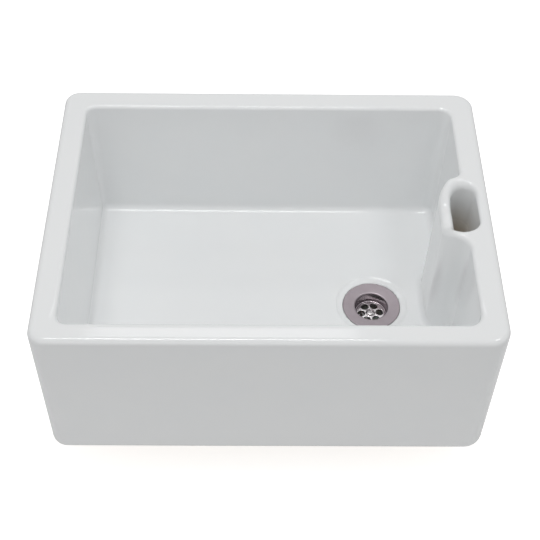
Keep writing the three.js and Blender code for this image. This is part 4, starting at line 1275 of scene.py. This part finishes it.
def thread_tree():
    """A Geometry Nodes tree with the thread's sizes and its finish as inputs."""
    tree = bpy.data.node_groups.new("wind a thread", "GeometryNodeTree")
    sizes = ("Root Radius", "Crest Radius", "Pitch", "Length", "Bottom", "Axis X", "Axis Y")
    for name in sizes:
        tree.interface.new_socket(name, in_out="INPUT", socket_type="NodeSocketFloat")
    tree.interface.new_socket("Finish", in_out="INPUT", socket_type="NodeSocketMaterial")
    tree.interface.new_socket("Geometry", in_out="OUTPUT", socket_type="NodeSocketGeometry")
    given = add_node(tree, "NodeGroupInput").outputs

    turns = add_node(tree, "ShaderNodeMath", {0: given["Length"], 1: given["Pitch"]},
                     operation="DIVIDE")
    path = add_node(tree, "GeometryNodeCurveSpiral", {
        "Resolution": STEPS_A_TURN, "Rotations": turns.outputs[0],
        "Start Radius": given["Root Radius"], "End Radius": given["Root Radius"],
        "Height": given["Length"], "Reverse": True,
    })
    upright = add_node(tree, "GeometryNodeSetCurveNormal", {"Curve": path.outputs[0]},
                       mode="Z_UP")
    along = add_node(tree, "GeometryNodeSplineParameter").outputs["Factor"]
    from_end = add_node(tree, "ShaderNodeMath", {0: 1.0, 1: along}, operation="SUBTRACT")
    nearest = add_node(tree, "ShaderNodeMath", {0: along, 1: from_end.outputs[0]},
                       operation="MINIMUM")
    thickness = add_node(tree, "ShaderNodeMapRange", {
        "Value": nearest.outputs[0], "From Max": RUN_OUT, "To Min": THINNEST, "To Max": 1.0,
    })
    thinned = add_node(tree, "GeometryNodeSetCurveRadius", {
        "Curve": upright.outputs[0], "Radius": thickness.outputs[0],
    })

    depth = add_node(tree, "ShaderNodeMath", {0: given["Crest Radius"], 1: given["Root Radius"]},
                     operation="SUBTRACT")
    width = add_node(tree, "ShaderNodeMath", {0: given["Pitch"], 1: RIDGE_OF_PITCH},
                     operation="MULTIPLY")
    scale = add_node(tree, "ShaderNodeCombineXYZ", {
        0: depth.outputs[0], 1: width.outputs[0], 2: 1.0,
    })
    triangle = add_node(tree, "GeometryNodeCurvePrimitiveCircle", {"Resolution": 3, "Radius": 1.0})
    section = add_node(tree, "GeometryNodeTransform", {
        "Geometry": triangle.outputs[0], "Scale": scale.outputs[0],
    })
    ridge = add_node(tree, "GeometryNodeCurveToMesh", {
        "Curve": thinned.outputs[0], "Profile Curve": section.outputs[0], "Fill Caps": True,
    })
    place = add_node(tree, "ShaderNodeCombineXYZ", {
        0: given["Axis X"], 1: given["Axis Y"], 2: given["Bottom"],
    })
    moved = add_node(tree, "GeometryNodeTransform", {
        "Geometry": ridge.outputs[0], "Translation": place.outputs[0],
    })
    real = add_node(tree, "GeometryNodeRealizeInstances", {"Geometry": moved.outputs[0]})
    dressed = add_node(tree, "GeometryNodeSetMaterial", {
        "Geometry": real.outputs[0], "Material": given["Finish"],
    })
    add_node(tree, "NodeGroupOutput", {"Geometry": dressed.outputs[0]})
    return tree


thread = thread_tree()
print("the thread's tree has", len(thread.nodes), "nodes")

# %% Running a tree
def grown_by(tree, name, sizes):
    """Runs a tree with these named inputs and keeps its result as a plain mesh object."""
    holder = bpy.data.objects.new(name + "_tree", bpy.data.meshes.new(name + "_tree"))
    bpy.context.scene.collection.objects.link(holder)
    modifier = holder.modifiers.new("grow", "NODES")
    modifier.node_group = tree
    for socket in tree.interface.items_tree:
        if socket.name in sizes:
            modifier[socket.identifier] = sizes[socket.name]
    grown = holder.evaluated_get(bpy.context.evaluated_depsgraph_get())
    mesh = bpy.data.meshes.new_from_object(grown)
    mesh.name = name
    bpy.data.objects.remove(holder)
    piece = bpy.data.objects.new(name, mesh)
    bpy.context.scene.collection.objects.link(piece)
    print(name, "has", len(mesh.polygons), "faces")
    return piece


# %% The screw's thread
# The path starts a little above the screw's point and stops below the shank.
SCREW_THREAD_START, SCREW_THREAD_ENDS = 0.7, 1.2

screw_thread = grown_by(thread, "screw_thread", {
    "Root Radius": SCREW_ROOT * MM, "Crest Radius": SCREW_RADIUS * MM,
    "Pitch": SCREW_PITCH * MM, "Length": (SCREW_THREAD_LENGTH - SCREW_THREAD_ENDS) * MM,
    "Bottom": (screw_low[2] + SCREW_THREAD_START) * MM,
    "Axis X": outlet_x * MM, "Axis Y": outlet_y * MM, "Finish": turned_steel,
})
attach(screw_thread, "screw")

# %% The outlet's thread
OUTLET_THREAD_START, OUTLET_THREAD_ENDS = 1.6, 2.5

outlet_thread = grown_by(thread, "outlet_thread", {
    "Root Radius": OUTLET_THREAD_ROOT * MM, "Crest Radius": OUTLET_THREAD_RADIUS * MM,
    "Pitch": OUTLET_PITCH * MM, "Length": (OUTLET_THREAD_LENGTH - OUTLET_THREAD_ENDS) * MM,
    "Bottom": (body_low[2] + OUTLET_THREAD_START) * MM,
    "Axis X": outlet_x * MM, "Axis Y": outlet_y * MM, "Finish": plastic,
})
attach(outlet_thread, "root")

# %% [markdown]
# ## The studio
# The photograph is a product picture on plain white, with only a faint shadow. A white floor
# under strong lamps would do it, but the lamps would wash out the white sink too. So the
# lamps stay low, and the paper is lifted to white by a little light of its own. The Light
# Path node gives that light to the camera and, less of it, to reflections, and none to
# the sink. The paper still darkens where the sink shades it.

# %% The floor of white paper
FLOOR_SIZE = 12.0
FLOOR_GAP = 0.0005
LIFT_FOR_CAMERA, LIFT_FOR_REFLECTIONS = 0.72, 0.2

half = FLOOR_SIZE / 2
level = cad_box[0][2] - FLOOR_GAP
floor_mesh = bpy.data.meshes.new("studio_floor")
floor_mesh.from_pydata(
    [(-half, -half, level), (half, -half, level), (half, half, level), (-half, half, level)],
    [], [(0, 1, 2, 3)],
)
studio_floor = bpy.data.objects.new("studio_floor", floor_mesh)
bpy.context.scene.collection.objects.link(studio_floor)


def studio_white():
    """Matt white paper. What the camera and reflections see of it is lifted towards white."""
    material, tree, shader = new_material("matt white paper")
    shader.inputs["Base Color"].default_value = linear("#F2F2F2")
    shader.inputs["Roughness"].default_value = 0.9
    path = add_node(tree, "ShaderNodeLightPath")
    strength = add_node(tree, "ShaderNodeMapRange", {
        "Value": path.outputs["Is Camera Ray"], "To Min": LIFT_FOR_REFLECTIONS,
        "To Max": LIFT_FOR_CAMERA,
    })
    lift = add_node(tree, "ShaderNodeEmission", {
        "Color": linear("#FFFFFF"), "Strength": strength.outputs[0],
    })
    both = add_node(tree, "ShaderNodeAddShader", {0: shader.outputs[0], 1: lift.outputs[0]})
    seen = add_node(tree, "ShaderNodeMath", {
        0: path.outputs["Is Camera Ray"], 1: path.outputs["Is Glossy Ray"],
    }, operation="MAXIMUM")
    mix = add_node(tree, "ShaderNodeMixShader", {
        0: seen.outputs[0], 1: shader.outputs[0], 2: both.outputs[0],
    })
    tree.links.new(mix.outputs[0], tree.nodes["Material Output"].inputs["Surface"])
    return material


give(studio_floor, studio_white())

# %% [markdown]
# ### The world
# The world is the white room round the sink, and gives the soft, even light that fills the
# bowl. Large lamps on all sides could do that too, but each would add its own reflection.
# The camera and the reflections see the world at strength 1, which is white, and the sink
# is lit by much less of it, so that the glaze keeps its shading.

# %% World
WORLD_LIGHT = 0.37

world = bpy.data.worlds.new("studio")
bpy.context.scene.world = world
world.use_nodes = True
world_tree = world.node_tree
background = world_tree.nodes["Background"]
background.inputs["Color"].default_value = linear("#FFFFFF")
path = add_node(world_tree, "ShaderNodeLightPath")
seen = add_node(world_tree, "ShaderNodeMath", {
    0: path.outputs["Is Camera Ray"], 1: path.outputs["Is Glossy Ray"],
}, operation="MAXIMUM")
strength = add_node(world_tree, "ShaderNodeMapRange", {
    "Value": seen.outputs[0], "To Min": WORLD_LIGHT, "To Max": 1.0,
})
world_tree.links.new(strength.outputs[0], background.inputs["Strength"])
print("the world lights the sink at", WORLD_LIGHT, "and looks white")

# %% [markdown]
# ### The lamps
# On glaze a lamp shows twice: as light on the white body, and as its own mirror image in the
# skin. Lamps could be moved about until both look right, but a mirror image can be worked
# out: the surface under a highlight has to face halfway between the camera and the lamp.
# So the overhead softbox was placed for the lines along the floor's back edge and round the
# flange, and the back strip for the bright band on the front rim. The side softbox lights
# what faces right, and the front fill lights the apron.

# %% Lights
SINK_MIDDLE = (0, 0, 0.1)
FRONT_RIM = (0, -0.21, 0.25)


def softbox(name, place, aim, width, height, power):
    """A rectangular lamp that faces a point. Its width runs along X."""
    lamp = bpy.data.lights.new(name, "AREA")
    lamp.shape = "RECTANGLE"
    lamp.size = width
    lamp.size_y = height
    lamp.energy = power
    holder = bpy.data.objects.new(name, lamp)
    away = (Vector(place) - Vector(aim)).normalized()
    along = (Vector((1, 0, 0)) - away * away.x).normalized()
    facing = Matrix((along, away.cross(along), away)).transposed()
    holder.matrix_world = Matrix.Translation(place) @ facing.to_4x4()
    bpy.context.scene.collection.objects.link(holder)
    print(name, "gives", power, "W")


softbox("overhead softbox", (-0.17, -0.1, 2.2), SINK_MIDDLE, width=1.05, height=0.28, power=12.2)
softbox("side softbox", (1.0, 0.1, 2.1), SINK_MIDDLE, width=0.35, height=0.35, power=3.5)
softbox("front fill", (-0.5, -2.6, 1.1), SINK_MIDDLE, width=1.8, height=1.0, power=5.2)
softbox("back strip", (-0.12, 1.075, 2.0), FRONT_RIM, width=0.85, height=0.12, power=0.75)

# %% [markdown]
# ## View
# The Standard view shows a colour as it was written, where a filmic one would grey the
# whites.

# %% View
bpy.context.scene.view_settings.view_transform = "Standard"
